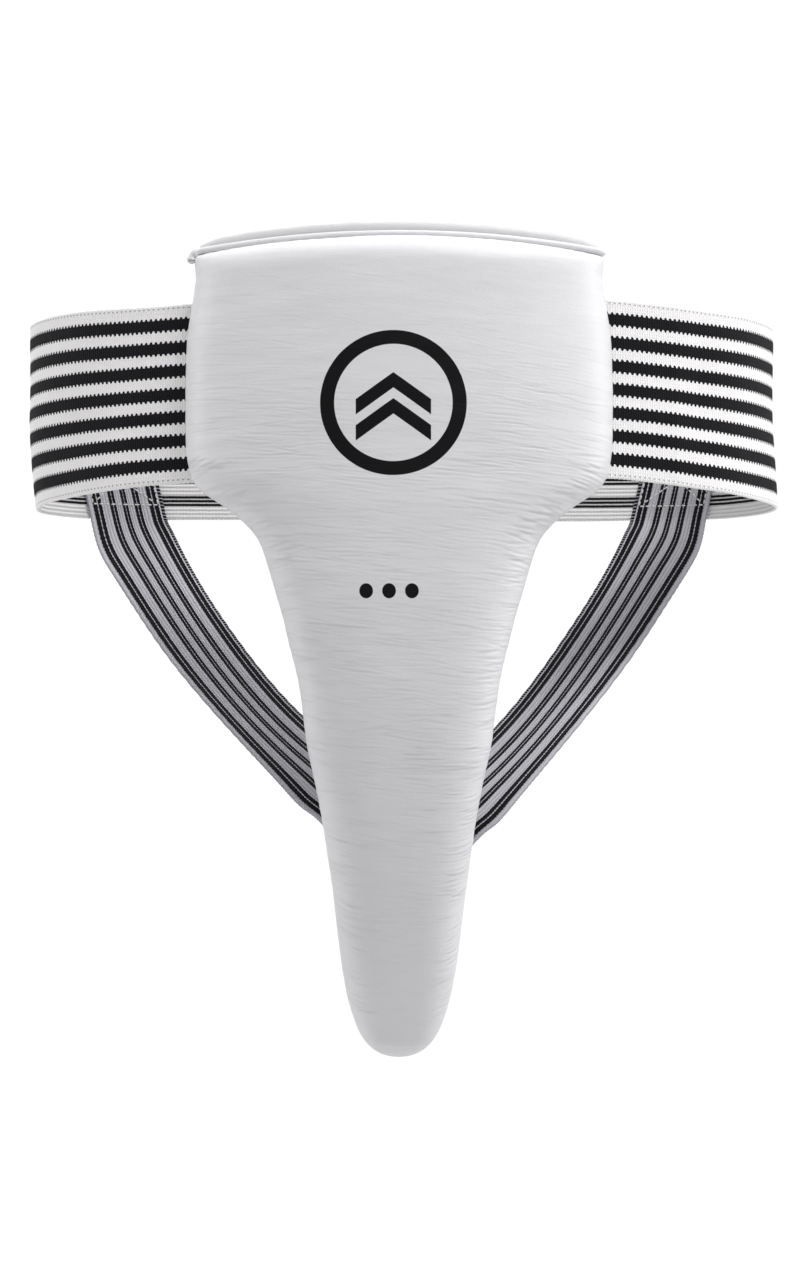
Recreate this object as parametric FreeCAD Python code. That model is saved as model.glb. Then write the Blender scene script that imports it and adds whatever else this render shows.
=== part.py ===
"""Groin protector: a padded, tapering front guard on an elastic waist belt that closes with hook
and loop at the back, and two elastic leg straps from the back of the belt to the guard's tail.

Frame, millimetres: origin at the centre of the waist opening, half way up the belt, +Z up, the
guard's face towards -Y. Left is -X and right is +X.
"""
import FreeCAD, Part
import math
import os
from FreeCAD import Vector

OUT = "parts"
os.makedirs(OUT, exist_ok=True)

# ---------------------------------------------------------------- driving dimensions
BELT_W = 80.0            # waist elastic width
BAND_T = 1.8             # waist elastic thickness
STRAP_W = 36.0           # leg elastic width
STRAP_T = 1.5            # leg elastic thickness
SKIN_T = 1.2             # skin on the guard's face
LINING_T = 1.0           # lining sheet on the body side
COMFORT_T = 8.0          # soft foam next to the body
GAP = 0.4                # air between sewn layers
BELT_CLEARANCE = GAP + 0.1   # air between the lining and the belt
THREAD_W = 0.7           # stitch width
THREAD_T = 0.5           # stitch thickness

# Guard outline
WRAP_R = 235.0           # radius of the guard's wrap round the belly
Z_TOP, Z_TIP = 67.1, -284.6
TOP_DROP = 5.0           # how far the top corners sit below the middle
TIP_ARC = 8.0            # depth of the round tail end
ROLL_TOP = 15.0          # padding roll at the top edge
ROLL_TIP = 20.0          # padding roll at the tail end
LIP = 7.4                # lining stands this far above the skin's top edge
TABLE_DROP = 3.0         # how far the next two tables are lowered against the belt

# Body-side face of the guard at x = 0: (z, y)
PROFILE = [
    (74.0, -97.2), (60.0, -97.8), (42.0, -98.0), (0.0, -98.0), (-42.0, -98.0), (-80.0, -96.0),
    (-120.0, -90.5), (-160.0, -80.5), (-200.0, -65.5), (-240.0, -45.5), (-265.0, -30.5),
    (-300.0, -7.5)]

# Guard width: (z, half width)
HALF_W = [
    (72.0, 90.4), (62.9, 90.7), (55.0, 90.1), (48.0, 90.9), (41.8, 91.8), (32.0, 93.4),
    (22.0, 94.2), (2.0, 94.6), (-19.0, 94.4), (-29.5, 93.1), (-36.0, 90.9), (-40.5, 87.4),
    (-44.9, 81.6), (-49.3, 75.6), (-54.6, 69.5), (-58.5, 65.6), (-65.0, 61.3), (-72.6, 58.6),
    (-81.0, 56.1), (-90.0, 53.5), (-99.0, 50.8), (-108.0, 48.6), (-116.5, 46.3), (-125.0, 44.5),
    (-134.0, 43.1), (-143.0, 42.0), (-152.0, 40.8), (-160.6, 39.1), (-169.0, 37.2),
    (-178.0, 35.3), (-187.0, 33.7), (-196.0, 32.3), (-204.6, 31.0), (-213.0, 29.7),
    (-222.0, 28.6), (-231.0, 27.5), (-240.0, 26.4), (-249.0, 25.0), (-257.0, 23.6),
    (-262.0, 22.3), (-266.0, 20.8), (-270.0, 18.9), (-273.0, 17.0), (-285.0, 8.0)]

# Padding: (share of the way from top to tail, thickness)
THICKNESS = [(0, 24.0), (0.2, 26.5), (0.5, 27.0), (0.8, 25.0), (1.0, 22.0)]

# Belt plan at mid thickness, (x, y), drawn at -X. Each half starts behind the guard.
BEHIND_GUARD_X = [-76.0, -86.0, -95.0]
BELT_FLANK = [(-109.5, -70.2), (-125.0, -59.5), (-140.0, -46.5)]
LEFT_REAR = [
    (-152.4, -31.0), (-161.3, -13.5), (-166.5, 4.5), (-167.0, 22.0), (-160.6, 37.0),
    (-147.2, 48.2), (-128.5, 53.8), (-106.0, 55.9), (-80.0, 56.5), (-55.0, 56.5),
    (-30.0, 56.5), (-15.0, 56.5), (-4.0, 56.5)]
RIGHT_REAR = [
    (-153.0, -31.0), (-162.5, -13.5), (-168.2, 4.5), (-168.8, 22.0), (-162.5, 39.0),
    (-148.5, 52.0), (-128.5, 59.2), (-106.0, 61.8), (-80.0, 62.5), (-55.0, 62.5),
    (-30.0, 62.5), (-15.0, 62.5), (-5.5, 62.5)]


# ---------------------------------------------------------------- helpers
def interpolate(table, x):
    """Monotone cubic through a table of (x, y), straight beyond its ends."""
    points = sorted(table)
    xs = [point[0] for point in points]
    ys = [point[1] for point in points]
    count = len(xs)
    if x <= xs[0]:
        return ys[0] + (ys[1] - ys[0]) / (xs[1] - xs[0]) * (x - xs[0])
    if x >= xs[-1]:
        return ys[-1] + (ys[-1] - ys[-2]) / (xs[-1] - xs[-2]) * (x - xs[-1])
    gaps = [xs[i + 1] - xs[i] for i in range(count - 1)]
    chords = [(ys[i + 1] - ys[i]) / gaps[i] for i in range(count - 1)]
    slopes = [chords[0]] + [0.0] * (count - 2) + [chords[-1]]
    for i in range(1, count - 1):
        if chords[i - 1] * chords[i] > 0:
            before = 2 * gaps[i] + gaps[i - 1]
            after = gaps[i] + 2 * gaps[i - 1]
            slopes[i] = (before + after) / (before / chords[i - 1] + after / chords[i])
    i = max(k for k in range(count - 1) if xs[k] <= x)
    part = (x - xs[i]) / gaps[i]
    return ((2 * part ** 3 - 3 * part ** 2 + 1) * ys[i]
            + (part ** 3 - 2 * part ** 2 + part) * gaps[i] * slopes[i]
            + (-2 * part ** 3 + 3 * part ** 2) * ys[i + 1]
            + (part ** 3 - part ** 2) * gaps[i] * slopes[i + 1])


def clamped_knots(count):
    """Multiplicities, knots and degree of a clamped uniform spline with this many poles."""
    degree = min(3, count - 1)
    multiplicities = [degree + 1] + [1] * (count - degree - 1) + [degree + 1]
    return multiplicities, [float(k) for k in range(count - degree + 1)], degree


def face_from_poles(grid):
    mults_u, knots_u, degree_u = clamped_knots(len(grid))
    mults_v, knots_v, degree_v = clamped_knots(len(grid[0]))
    surface = Part.BSplineSurface()
    surface.buildFromPolesMultsKnots(grid, mults_u, mults_v, knots_u, knots_v,
                                     False, False, degree_u, degree_v)
    return surface.toShape()


def curve_from_poles(poles):
    mults, knots, degree = clamped_knots(len(poles))
    curve = Part.BSplineCurve()
    curve.buildFromPolesMultsKnots(poles, mults, knots, False, degree)
    return curve


def slab(low, high):
    """Closed solid between two pole grids of the same shape."""
    faces = [face_from_poles(low), face_from_poles(high)]
    for j in (0, -1):
        faces.append(face_from_poles([[a, b] for a, b in zip(low[j], high[j])]))
    for j in (0, -1):
        faces.append(face_from_poles([[a[j], b[j]] for a, b in zip(low, high)]))
    shell = Part.Shell(faces)
    shell.sewShape()
    solid = Part.Solid(Part.Shell(shell.Faces))
    if solid.Volume < 0:
        solid.reverse()
    return solid


def box(x0, x1, y0, y1, half_height):
    """Box centred on z = 0."""
    return Part.makeBox(x1 - x0, y1 - y0, 2 * half_height, Vector(x0, y0, -half_height))


def round_corners(block, radius, x_limit=math.inf):
    """Round the edges that run along Y and start below x_limit."""
    edges = []
    for edge in block.Edges:
        start, end = edge.Vertexes[0].Point, edge.Vertexes[1].Point
        if abs(start.y - end.y) > 0.1 and start.x < x_limit:
            edges.append(edge)
    return block.makeFillet(radius, edges)


def stitch(start, end, normal):
    """One thread stitch lying on a face with this outward normal."""
    up = Vector(normal).normalize()
    side = (end - start).cross(up).normalize() * (THREAD_W / 2)
    wire = Part.makePolygon([start - side, end - side, end + side, start + side, start - side])
    return Part.Face(wire).extrude(up * THREAD_T)


def stitch_line(points, pitch=6.0, length=4.2):
    """Stitches along a polyline of (point, normal), the pitch fitted to each span."""
    made = []
    for (start, normal0), (end, normal1) in zip(points, points[1:]):
        run = end - start
        span = run.Length
        count = max(1, int(round(span / pitch)))
        dash = min(length, span / count * 0.72)
        for k in range(count):
            dash_start = start + run * ((k + 0.5) / count) - run * (dash / 2 / span)
            dash_end = dash_start + run * (dash / span)
            made.append(stitch(dash_start, dash_end, (normal0 + normal1) * 0.5))
    return made


def mirrored(shapes):
    return [shape.mirror(Vector(0, 0, 0), Vector(1, 0, 0)) for shape in shapes]


def save(name, shapes):
    """Write one shape, or a list of shapes as one piece."""
    if not isinstance(shapes, list):
        shapes = [shapes]
    whole = shapes[0] if len(shapes) == 1 else Part.makeCompound(shapes)
    whole.exportStep(os.path.join(OUT, name + ".step"))


# ---------------------------------------------------------------- guard geometry
def back_y(z):
    return interpolate(PROFILE, z + TABLE_DROP)


def half_width(z):
    return interpolate(HALF_W, z + TABLE_DROP)


ARC_STEP = 0.5           # height between samples of the centre line


def centre_line():
    """(arc length, z) down the body-side face at x = 0, running past both ends of the guard."""
    z = Z_TOP + 8.0
    samples = [(0.0, z)]
    while z > Z_TIP - 12.0:
        below = z - ARC_STEP
        step = math.hypot(ARC_STEP, back_y(below) - back_y(z))
        samples.append((samples[-1][0] + step, below))
        z = below
    return samples


ARC = centre_line()


def arc_at(z):
    return next(sample[0] for sample in ARC if sample[1] <= z)


ARC_TOP = arc_at(Z_TOP)
LENGTH = arc_at(Z_TIP) - ARC_TOP     # guard length down its centre line


def run_at(z):
    """Run down the centre line from the top edge to this height."""
    return arc_at(z) - ARC_TOP


def z_at(run):
    arc = run + ARC_TOP
    # No sample gap is shorter than ARC_STEP, so this guess is never too low.
    k = min(max(int(arc / ARC_STEP), 0), len(ARC) - 2)
    while k > 0 and ARC[k][0] > arc:
        k -= 1
    (arc0, z0), (arc1, z1) = ARC[k], ARC[k + 1]
    return z0 + (z1 - z0) * (arc - arc0) / (arc1 - arc0)


def frame_at(run):
    """Centre line point and forward normal."""
    z = z_at(run)
    slope = back_y(z + 0.5) - back_y(z - 0.5)
    norm = math.hypot(1.0, slope)
    return Vector(0, back_y(z), z), Vector(0, -1.0 / norm, slope / norm)


def guard_point(x, run, height):
    """Point at a height forward of the body-side face."""
    centre, normal = frame_at(run)
    return centre + Vector(x, 0, 0) + normal * (height - x * x / (2 * WRAP_R))


def planform(across, down, inset=0.0):
    """(x, run) for across in -1..1 and down from top 0 to tail 1, pulled in from the rim."""
    run = inset + down * (LENGTH - 2 * inset)
    side = (run + TOP_DROP * math.exp(-run / 35.0)
            - TIP_ARC * math.exp(-(LENGTH - run) / 14.0))
    x = across * (half_width(z_at(side)) - inset)
    return x, run + (side - run) * across * across


def end_roll(distance, roll):
    """Share of full height this far from an end of the guard."""
    if distance >= roll:
        return 1.0
    return max(0.0, 1.0 - (1.0 - distance / roll) ** 3) ** (1 / 2.3)


def dome(across, down):
    """Share of full padding height, 1 in the middle and 0 at the rim."""
    run = down * LENGTH
    sides = max(0.0, 1.0 - abs(across) ** 3.3) ** (1 / 2.6)
    return sides * end_roll(run, ROLL_TOP) * end_roll(LENGTH - run, ROLL_TIP)


def thickness(down):
    return interpolate(THICKNESS, down)


# Grid stations, crowded towards the rim
ACROSS_HALF = [0.16, 0.32, 0.47, 0.60, 0.71, 0.80, 0.87, 0.925, 0.965, 0.99, 1.0]
ACROSS = [-a for a in reversed(ACROSS_HALF)] + [0.0] + ACROSS_HALF
DOWN_END = [0.0, 0.0012, 0.005, 0.011, 0.02, 0.032, 0.047]
DOWN = (DOWN_END + [0.065 + 0.87 * k / 24 for k in range(25)]
        + [1 - d for d in reversed(DOWN_END)])


def sheet(level, inset=0.0, across_list=ACROSS, down_list=DOWN):
    """Pole grid at the height level(across, down)."""
    return [[guard_point(*planform(across, down, inset), level(across, down))
             for across in across_list] for down in down_list]


# ---------------------------------------------------------------- guard pieces
COVER_BASE = LINING_T + 0.3      # height of the cover's rim
FOAM_INSET = 2.4
FOAM_DOWN = [d for d in DOWN if 0.01 < d < 0.99]
SOFT_ACROSS = [a for a in ACROSS if abs(a) < 0.98]
FIRM_ACROSS = [a for a in ACROSS if abs(a) < 0.93]


def lining_grid(height):
    """The skin's outline with a lip above its top edge, lower at the corners."""
    grid = []
    for down in DOWN:
        row = []
        for across in ACROSS:
            x, run = planform(across, down)
            if down == 0.0:
                corner = abs(across) ** 8
                run -= LIP * (1.0 - 0.45 * corner)
                x *= 1.0 - 0.012 * corner
            row.append(guard_point(x, run, height))
        grid.append(row)
    return grid


def skin_outer(across, down):
    return COVER_BASE + thickness(down) * dome(across, down)


def skin_inner(across, down):
    return COVER_BASE + (thickness(down) - SKIN_T - 0.4) * dome(across, down)


def soft_bottom(across, down):
    return COVER_BASE + 0.1


def soft_top(across, down):
    return COVER_BASE + 0.4 + COMFORT_T * dome(across, down) ** 0.9


def firm_bottom(across, down):
    return soft_top(across, down) + 0.5


def firm_top(across, down):
    return COVER_BASE + (thickness(down) - 3.0) * dome(across, down)


def foam(bottom, top, across_list):
    return slab(sheet(bottom, FOAM_INSET, across_list, FOAM_DOWN),
                sheet(top, FOAM_INSET, across_list, FOAM_DOWN))


save("back_lining", slab(lining_grid(0.0), lining_grid(LINING_T)))
save("front_cover", slab(sheet(skin_inner, inset=SKIN_T), sheet(skin_outer)))
save("comfort_foam", foam(soft_bottom, soft_top, SOFT_ACROSS))
save("impact_foam", foam(firm_bottom, firm_top, FIRM_ACROSS))

# ---------------------------------------------------------------- piping along the top edge
PIPING_R = 1.6
PIPING_BORE_R = 0.95
CORD_R = 0.75
PIPING_ACROSS = [-1.0, -0.85, -0.7, -0.5, -0.25, 0.0, 0.25, 0.5, 0.7, 0.85, 1.0]


def piping_path():
    poles = []
    for across in PIPING_ACROSS:
        x, run = planform(across, 0)
        poles.append(guard_point(x, run - PIPING_R - 0.5, COVER_BASE + 0.1 + PIPING_R))
    return curve_from_poles(poles)


def rod_along(curve, radius):
    start = curve.FirstParameter
    circle = Part.makeCircle(radius, curve.value(start), curve.tangent(start)[0])
    return Part.Wire([curve.toShape()]).makePipeShell([Part.Wire([circle])], True, True)


piping = piping_path()
save("piping_cover", rod_along(piping, PIPING_R).cut(rod_along(piping, PIPING_BORE_R)))
save("piping_cord", rod_along(piping, CORD_R))

# ---------------------------------------------------------------- rim seam
SEAM_INSET = 4.0
BELT_END_Z = BELT_W / 2 + 6.0        # the belt ends cover the seam within this height
BELT_END_X = 60.0                    # and outside this x
STRAP_END_Z = (-217.0, -180.0)       # the strap ends cover the seam here


def under_an_end(dash):
    centre = dash.BoundBox.Center
    under_belt = abs(centre.z) < BELT_END_Z and abs(centre.x) > BELT_END_X
    return under_belt or STRAP_END_Z[0] < centre.z < STRAP_END_Z[1]


def rim_seam():
    """Stitches on the lining down one side, round the tail and up the other side."""
    downs = [0.02 + 0.96 * k / 22 for k in range(23)]
    stations = [(-1, down) for down in downs]
    stations += [(across, 1.0) for across in (-0.6, -0.2, 0.2, 0.6)]
    stations += [(1, down) for down in reversed(downs)]
    line = []
    for across, down in stations:
        x, run = planform(across, down, SEAM_INSET)
        line.append((guard_point(x, run, -0.25), frame_at(run)[1] * -1.0))
    # The stitches hidden by the belt and strap ends are left out.
    return [dash for dash in stitch_line(line, pitch=9.0, length=6.0) if not under_an_end(dash)]


save("rim_seam_thread", rim_seam())

# ---------------------------------------------------------------- belt halves
HALF_BELT = BELT_W / 2
HALF_BAND = BAND_T / 2
HINGE_X = 96.0           # fold line of each half, just outside the guard's side edge
HINGE_GAP = 0.6          # half the slot at that fold line
FOLD_REACH = 400.0       # half height of the cutting boxes, well beyond the belt


def belt_front_y(x):
    """Face of the band towards the guard, where it lies behind the lining."""
    return back_y(0.0) + x * x / (2 * WRAP_R) + BELT_CLEARANCE


def belt_plan(rear, side=1):
    """Mid-thickness poles of a belt half: at -X for side 1, at +X for side -1."""
    start = [(x, belt_front_y(x) + HALF_BAND) for x in BEHIND_GUARD_X]
    return [Vector(x * side, y, 0) for x, y in start + BELT_FLANK + rear]


def offset(points, distance):
    """Points moved along the plan normal that points away from the opening's centre."""
    moved = []
    for i, point in enumerate(points):
        before, after = points[max(i - 1, 0)], points[min(i + 1, len(points) - 1)]
        tangent = (after - before).normalize()
        normal = Vector(-tangent.y, tangent.x, 0)
        if normal.dot(point) < 0:
            normal = normal * -1.0
        moved.append(point + normal * distance)
    return moved


def band(points):
    grids = [[[Vector(p.x, p.y, z) for z in (-HALF_BELT, HALF_BELT)]
              for p in offset(points, distance)] for distance in (-HALF_BAND, HALF_BAND)]
    return slab(*grids)


def split_at_fold(whole):
    """The end sewn to the guard, and the rest of the band."""
    near_x, far_x = HINGE_X - HINGE_GAP, HINGE_X + HINGE_GAP
    near = box(-near_x, near_x, -200, 0, FOLD_REACH)
    near_and_slot = box(-far_x, far_x, -200, 0, FOLD_REACH)
    return whole.common(near), whole.cut(near_and_slot)


def side_seam():
    """Two rows of stitches on the body side of the left band, behind the guard."""
    made = []
    for x in (-78.5, -82.5):
        y = belt_front_y(x) + BAND_T + 0.35
        normal = Vector(-x / WRAP_R, 1, 0).normalize()
        made += stitch_line([(Vector(x, y, z), normal) for z in (-36, 36)])
    return made


for name, rear, side in (("left", LEFT_REAR, 1), ("right", RIGHT_REAR, -1)):
    sewn_end, swinging = split_at_fold(band(belt_plan(rear, side)))
    save(name + "_belt_sewn_end", sewn_end)
    save(name + "_belt_band", swinging)
save("left_belt_seam_thread", side_seam())
save("right_belt_seam_thread", mirrored(side_seam()))

# ---------------------------------------------------------------- back closure
LEFT_OUTER = LEFT_REAR[-1][1] + HALF_BAND    # y of the bands' faces at the middle of the back
LEFT_INNER = LEFT_REAR[-1][1] - HALF_BAND
RIGHT_OUTER = RIGHT_REAR[-1][1] + HALF_BAND
RIGHT_INNER = RIGHT_REAR[-1][1] - HALF_BAND
LAYER_GAP = 0.25         # air between closure layers
PATCH_T = 1.0            # binding, loop and hook thickness
LAYER_TOP = LAYER_GAP + PATCH_T
THREAD_OFF = 1.5         # stitches over a layer start this far off the band
TAB_AXIS_X = 2.0         # fold line of the closure tab
TAB_GAP = 0.8            # half the slot at that fold line
TAB_T = 1.2
TAB_Y = (RIGHT_INNER - LAYER_GAP - TAB_T, RIGHT_INNER - LAYER_GAP)
TAB_HALF_H = 36.0


def left_end_binding():
    """U-shaped binding round the end of the left half."""
    outside = box(-13.0, -2.3, LEFT_INNER - LAYER_TOP, LEFT_OUTER + LAYER_TOP, HALF_BELT)
    return outside.cut(box(-14.0, -3.7, LEFT_INNER - LAYER_GAP, LEFT_OUTER + LAYER_GAP,
                           HALF_BELT + 1))


def right_end_binding():
    """L-shaped binding over the end and outer face of the right half."""
    outside = box(4.2, 16.0, RIGHT_INNER + 0.1, RIGHT_OUTER + LAYER_TOP, HALF_BELT)
    return outside.cut(box(5.2, 17.0, RIGHT_INNER - 1.0, RIGHT_OUTER + LAYER_GAP,
                           HALF_BELT + 1))


def loop_patch():
    """Patch on the outer face of the left half."""
    y = LEFT_OUTER + LAYER_GAP
    return round_corners(box(-68.0, -14.5, y, y + PATCH_T, 35.5), 3.0)


def hook_patch():
    """Patch between the loop patch and the tab's flap."""
    y = LEFT_OUTER + LAYER_TOP + LAYER_GAP
    return round_corners(box(-54.0, -19.0, y, y + PATCH_T, 31.0), 6.0)


def closure_tab():
    """The tab's flap, rounded at its free end."""
    flap = box(-58.0, TAB_AXIS_X - TAB_GAP, *TAB_Y, TAB_HALF_H)
    return round_corners(flap, 9.0, x_limit=-50)


def closure_tab_sewn_end():
    """The tab's other end, inside the right half."""
    return box(TAB_AXIS_X + TAB_GAP, 20.0, *TAB_Y, TAB_HALF_H)


def back_stitches(y, *corners):
    """Stitches through (x, z) corners on a face towards +Y."""
    return stitch_line([(Vector(x, y, z), Vector(0, 1, 0)) for x, z in corners])


def stitch_frame(x0, x1, y, half_height):
    """Rectangle of stitches, each side its own row."""
    low, high = -half_height, half_height
    return back_stitches(y, (x0, low), (x1, low), (x1, high), (x0, high), (x0, low))


def loop_patch_thread():
    y = LEFT_OUTER + THREAD_OFF
    made = []
    for z in (-33.6, 33.6):
        made += back_stitches(y, (-66, z), (-16.5, z))
    for x in (-66.0, -16.2):
        made += back_stitches(y, (x, -31), (x, 31))
    return made


save("left_end_binding", left_end_binding())
save("right_end_binding", right_end_binding())
save("loop_patch", loop_patch())
save("closure_tab", closure_tab())
save("closure_tab_sewn_end", closure_tab_sewn_end())
save("hook_patch", hook_patch())
save("loop_patch_thread", loop_patch_thread())
save("hook_patch_thread", stitch_frame(-51.5, -21.5, RIGHT_INNER, 28.5))
save("closure_tab_thread", stitch_frame(7.0, 14.0, RIGHT_OUTER + THREAD_OFF, 33))

# ---------------------------------------------------------------- leg straps, drawn at -X
LEAN = -0.24             # how far the sewn upper end leans, for each mm of height
LEFT_LIFT = 7.5          # the left elastic is sewn this much higher on the tail
STITCH_LIFT = 0.50       # box stitching stands this far off the elastic, clear of its curve
STRAP_X = -123.5         # centre of the strap's bottom row on the belt
BELT_ROWS_Z = (-6.0, -16.0, -26.0, -36.0, -42.0)
ACROSS_STRAP = [STRAP_W * share for share in (-0.5, -0.25, 0.0, 0.25, 0.5)]
STITCH_EDGE = 2.5        # box stitching to the strap's edge
BOX_TOP, BOX_BOTTOM = -9.0, -33.5
CROSS_IN = 3.0           # the cross stops this far inside the box

# Hanging run: centre x, y, z, roll of the width in degrees, share of the tail's lift
FREE_RUN = [
    (-120.8, 50.0, -49.6, 12, 0.0), (-114.6, 42.4, -61.8, 23, 0.0),
    (-104.0, 29.5, -80.4, 28, 0.0), (-91.9, 13.0, -100.2, 29, 0.05),
    (-78.6, -5.0, -120.2, 33, 0.20), (-64.0, -24.0, -140.1, 36, 0.42),
    (-49.5, -41.0, -157.6, 34, 0.66), (-37.8, -54.2, -170.5, 27, 0.86),
    (-29.4, -62.6, -179.4, 14, 0.96)]

# Centre of the end sewn to the tail, before the lift: (x, z)
TAIL_RUN = [(-25.0, -183.8), (-20.1, -188.7), (-15.2, -193.6)]


def strap_on_belt(rear):
    """Function that places a point of the strap's sewn upper end on a belt half."""
    curve = curve_from_poles(belt_plan(rear))
    first, last = curve.FirstParameter, curve.LastParameter
    points = [curve.value(first + (last - first) * k / 800) for k in range(801)]
    at_rear = [i for i, point in enumerate(points) if point.y > 30]
    middle = min(at_rear, key=lambda i: abs(points[i].x - STRAP_X))

    def place(along, z, height):
        """Point and inward normal: along the belt from the leaning centre line towards the
        middle of the back, at a height off the strap's face towards the band."""
        along += LEAN * (z - BELT_ROWS_Z[-1])
        i, left = middle, abs(along)
        step = 1 if along > 0 else -1
        while left > 0:
            distance = (points[i + step] - points[i]).Length
            if distance > left:
                break
            left -= distance
            i += step
        spot = points[i] + (points[i + step] - points[i]).normalize() * left
        tangent = (points[i + 1] - points[i - 1]).normalize()
        normal = Vector(tangent.y, -tangent.x, 0)
        if normal.dot(spot) > 0:
            normal = normal * -1.0
        return Vector(spot.x, spot.y, z) + normal * (HALF_BAND + GAP + height), normal

    return place


def free_centres(lift):
    centres = []
    for x, y, z, _, share in FREE_RUN:
        shift = (back_y(z + lift) - back_y(z)) * share * share
        centres.append(Vector(x, y + shift, z + lift * share))
    return centres


def tail_stations(lift):
    """(centre, forward normal) of the end sewn to the tail."""
    stations = []
    for x, z in TAIL_RUN:
        run = run_at(z + lift)
        stations.append((guard_point(x, run, -GAP - STRAP_T / 2), frame_at(run)[1]))
    return stations


def tail_direction(tail):
    return (tail[-1][0] - tail[0][0]).normalize()


def width_direction(direction, normal):
    """Across the strap, towards +X."""
    width = direction.cross(normal).normalize()
    return width * -1.0 if width.x < 0 else width


def leg_strap(place, lift):
    low = [[place(along, z, 0.0)[0] for along in ACROSS_STRAP] for z in BELT_ROWS_Z]
    high = [[place(along, z, STRAP_T)[0] for along in ACROSS_STRAP] for z in BELT_ROWS_Z]

    tail = tail_stations(lift)
    centres = [place(0, BELT_ROWS_Z[-1], STRAP_T / 2)[0]] + free_centres(lift)
    centres += [centre for centre, _ in tail]
    for k, station in enumerate(FREE_RUN, start=1):
        tangent = (centres[k + 1] - centres[k - 1]).normalize()
        level = Vector(-tangent.z, 0, tangent.x).normalize()
        upright = tangent.cross(level).normalize()
        roll = math.radians(station[3])
        width = level * math.cos(roll) - upright * math.sin(roll)
        normal = width.cross(tangent).normalize()
        if normal.y > 0:
            normal = normal * -1.0
        for rows, height in ((low, -STRAP_T / 2), (high, STRAP_T / 2)):
            rows.append([centres[k] + width * q + normal * height for q in ACROSS_STRAP])

    direction = tail_direction(tail)
    for centre, normal in tail:
        width = width_direction(direction, normal)
        low_row, high_row = [], []
        for across in ACROSS_STRAP:
            # Keep the layer a constant distance off the curved lining.
            spot = centre + width * across
            run = run_at(spot.z)
            face = guard_point(spot.x, run, -GAP)
            low_row.append(face - frame_at(run)[1] * STRAP_T)
            high_row.append(face)
        low.append(low_row)
        high.append(high_row)
    return slab(low, high)


def belt_box_stitching(place):
    """Box with a cross, on the strap's face away from the band."""
    half = STRAP_W / 2 - STITCH_EDGE
    cross = half - CROSS_IN
    cross_top, cross_bottom = BOX_TOP - CROSS_IN, BOX_BOTTOM + CROSS_IN
    # Start along and z, end along and z, number of spans
    rows = [(-half, BOX_TOP, half, BOX_TOP, 6),
            (half, BOX_TOP, half, BOX_BOTTOM, 5),
            (half, BOX_BOTTOM, -half, BOX_BOTTOM, 6),
            (-half, BOX_BOTTOM, -half, BOX_TOP, 5),
            (-cross, cross_top, cross, cross_bottom, 6),
            (-cross, cross_bottom, cross, cross_top, 6)]
    made = []
    for along0, z0, along1, z1, spans in rows:
        line = [place(along0 + (along1 - along0) * k / spans, z0 + (z1 - z0) * k / spans,
                      STRAP_T + STITCH_LIFT) for k in range(spans + 1)]
        made += stitch_line(line, pitch=5.0, length=3.4)
    return made


def tail_stitching(lift):
    """Two rows across the strap's end on the tail, on the body side."""
    tail = tail_stations(lift)
    direction = tail_direction(tail)
    end, normal = tail[-1]
    width = width_direction(direction, normal)
    made = []
    for back in (1.3, 3.9):
        line = []
        for across in (-14.0, -7.0, 0.0, 7.0, 14.0):
            spot = end - direction * back + width * across
            run = run_at(spot.z)
            line.append((guard_point(spot.x, run, -GAP - STRAP_T - 0.5),
                         frame_at(run)[1] * -1.0))
        made += stitch_line(line, pitch=3.5, length=2.6)
    return made


for name, rear, lift in (("left", LEFT_REAR, LEFT_LIFT), ("right", RIGHT_REAR, 0.0)):
    place = strap_on_belt(rear)
    pieces = {"_leg_strap": [leg_strap(place, lift)],
              "_strap_belt_thread": belt_box_stitching(place),
              "_strap_tail_thread": tail_stitching(lift)}
    for suffix, shapes in pieces.items():
        save(name + suffix, mirrored(shapes) if name == "right" else shapes)
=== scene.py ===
"""Groin guard: a padded guard in front, an elastic belt in two halves and two leg straps.

The guard's outer face looks to -Y and the belt closes behind, at +Y. Left is -X, Z is up and z = 0
is the belt's mid height. Shapes are worked out in mm and turned to metres when a mesh is built.
"""

import math

import bmesh
import bpy
import numpy as np
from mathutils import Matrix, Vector


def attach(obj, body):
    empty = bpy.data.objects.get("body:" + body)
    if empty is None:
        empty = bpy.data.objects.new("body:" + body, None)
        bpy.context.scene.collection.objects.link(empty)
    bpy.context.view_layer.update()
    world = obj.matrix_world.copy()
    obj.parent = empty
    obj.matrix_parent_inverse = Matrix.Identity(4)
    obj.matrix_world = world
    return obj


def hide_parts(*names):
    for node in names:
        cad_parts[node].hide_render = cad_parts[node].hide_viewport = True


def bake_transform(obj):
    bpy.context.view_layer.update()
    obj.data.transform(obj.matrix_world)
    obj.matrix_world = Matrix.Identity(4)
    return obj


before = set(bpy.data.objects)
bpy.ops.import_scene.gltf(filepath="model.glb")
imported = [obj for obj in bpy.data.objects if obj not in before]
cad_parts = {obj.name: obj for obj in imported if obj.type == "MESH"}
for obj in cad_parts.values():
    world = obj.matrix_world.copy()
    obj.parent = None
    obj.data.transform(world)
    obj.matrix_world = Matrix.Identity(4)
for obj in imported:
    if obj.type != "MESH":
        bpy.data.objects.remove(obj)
MM = 0.001

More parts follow.
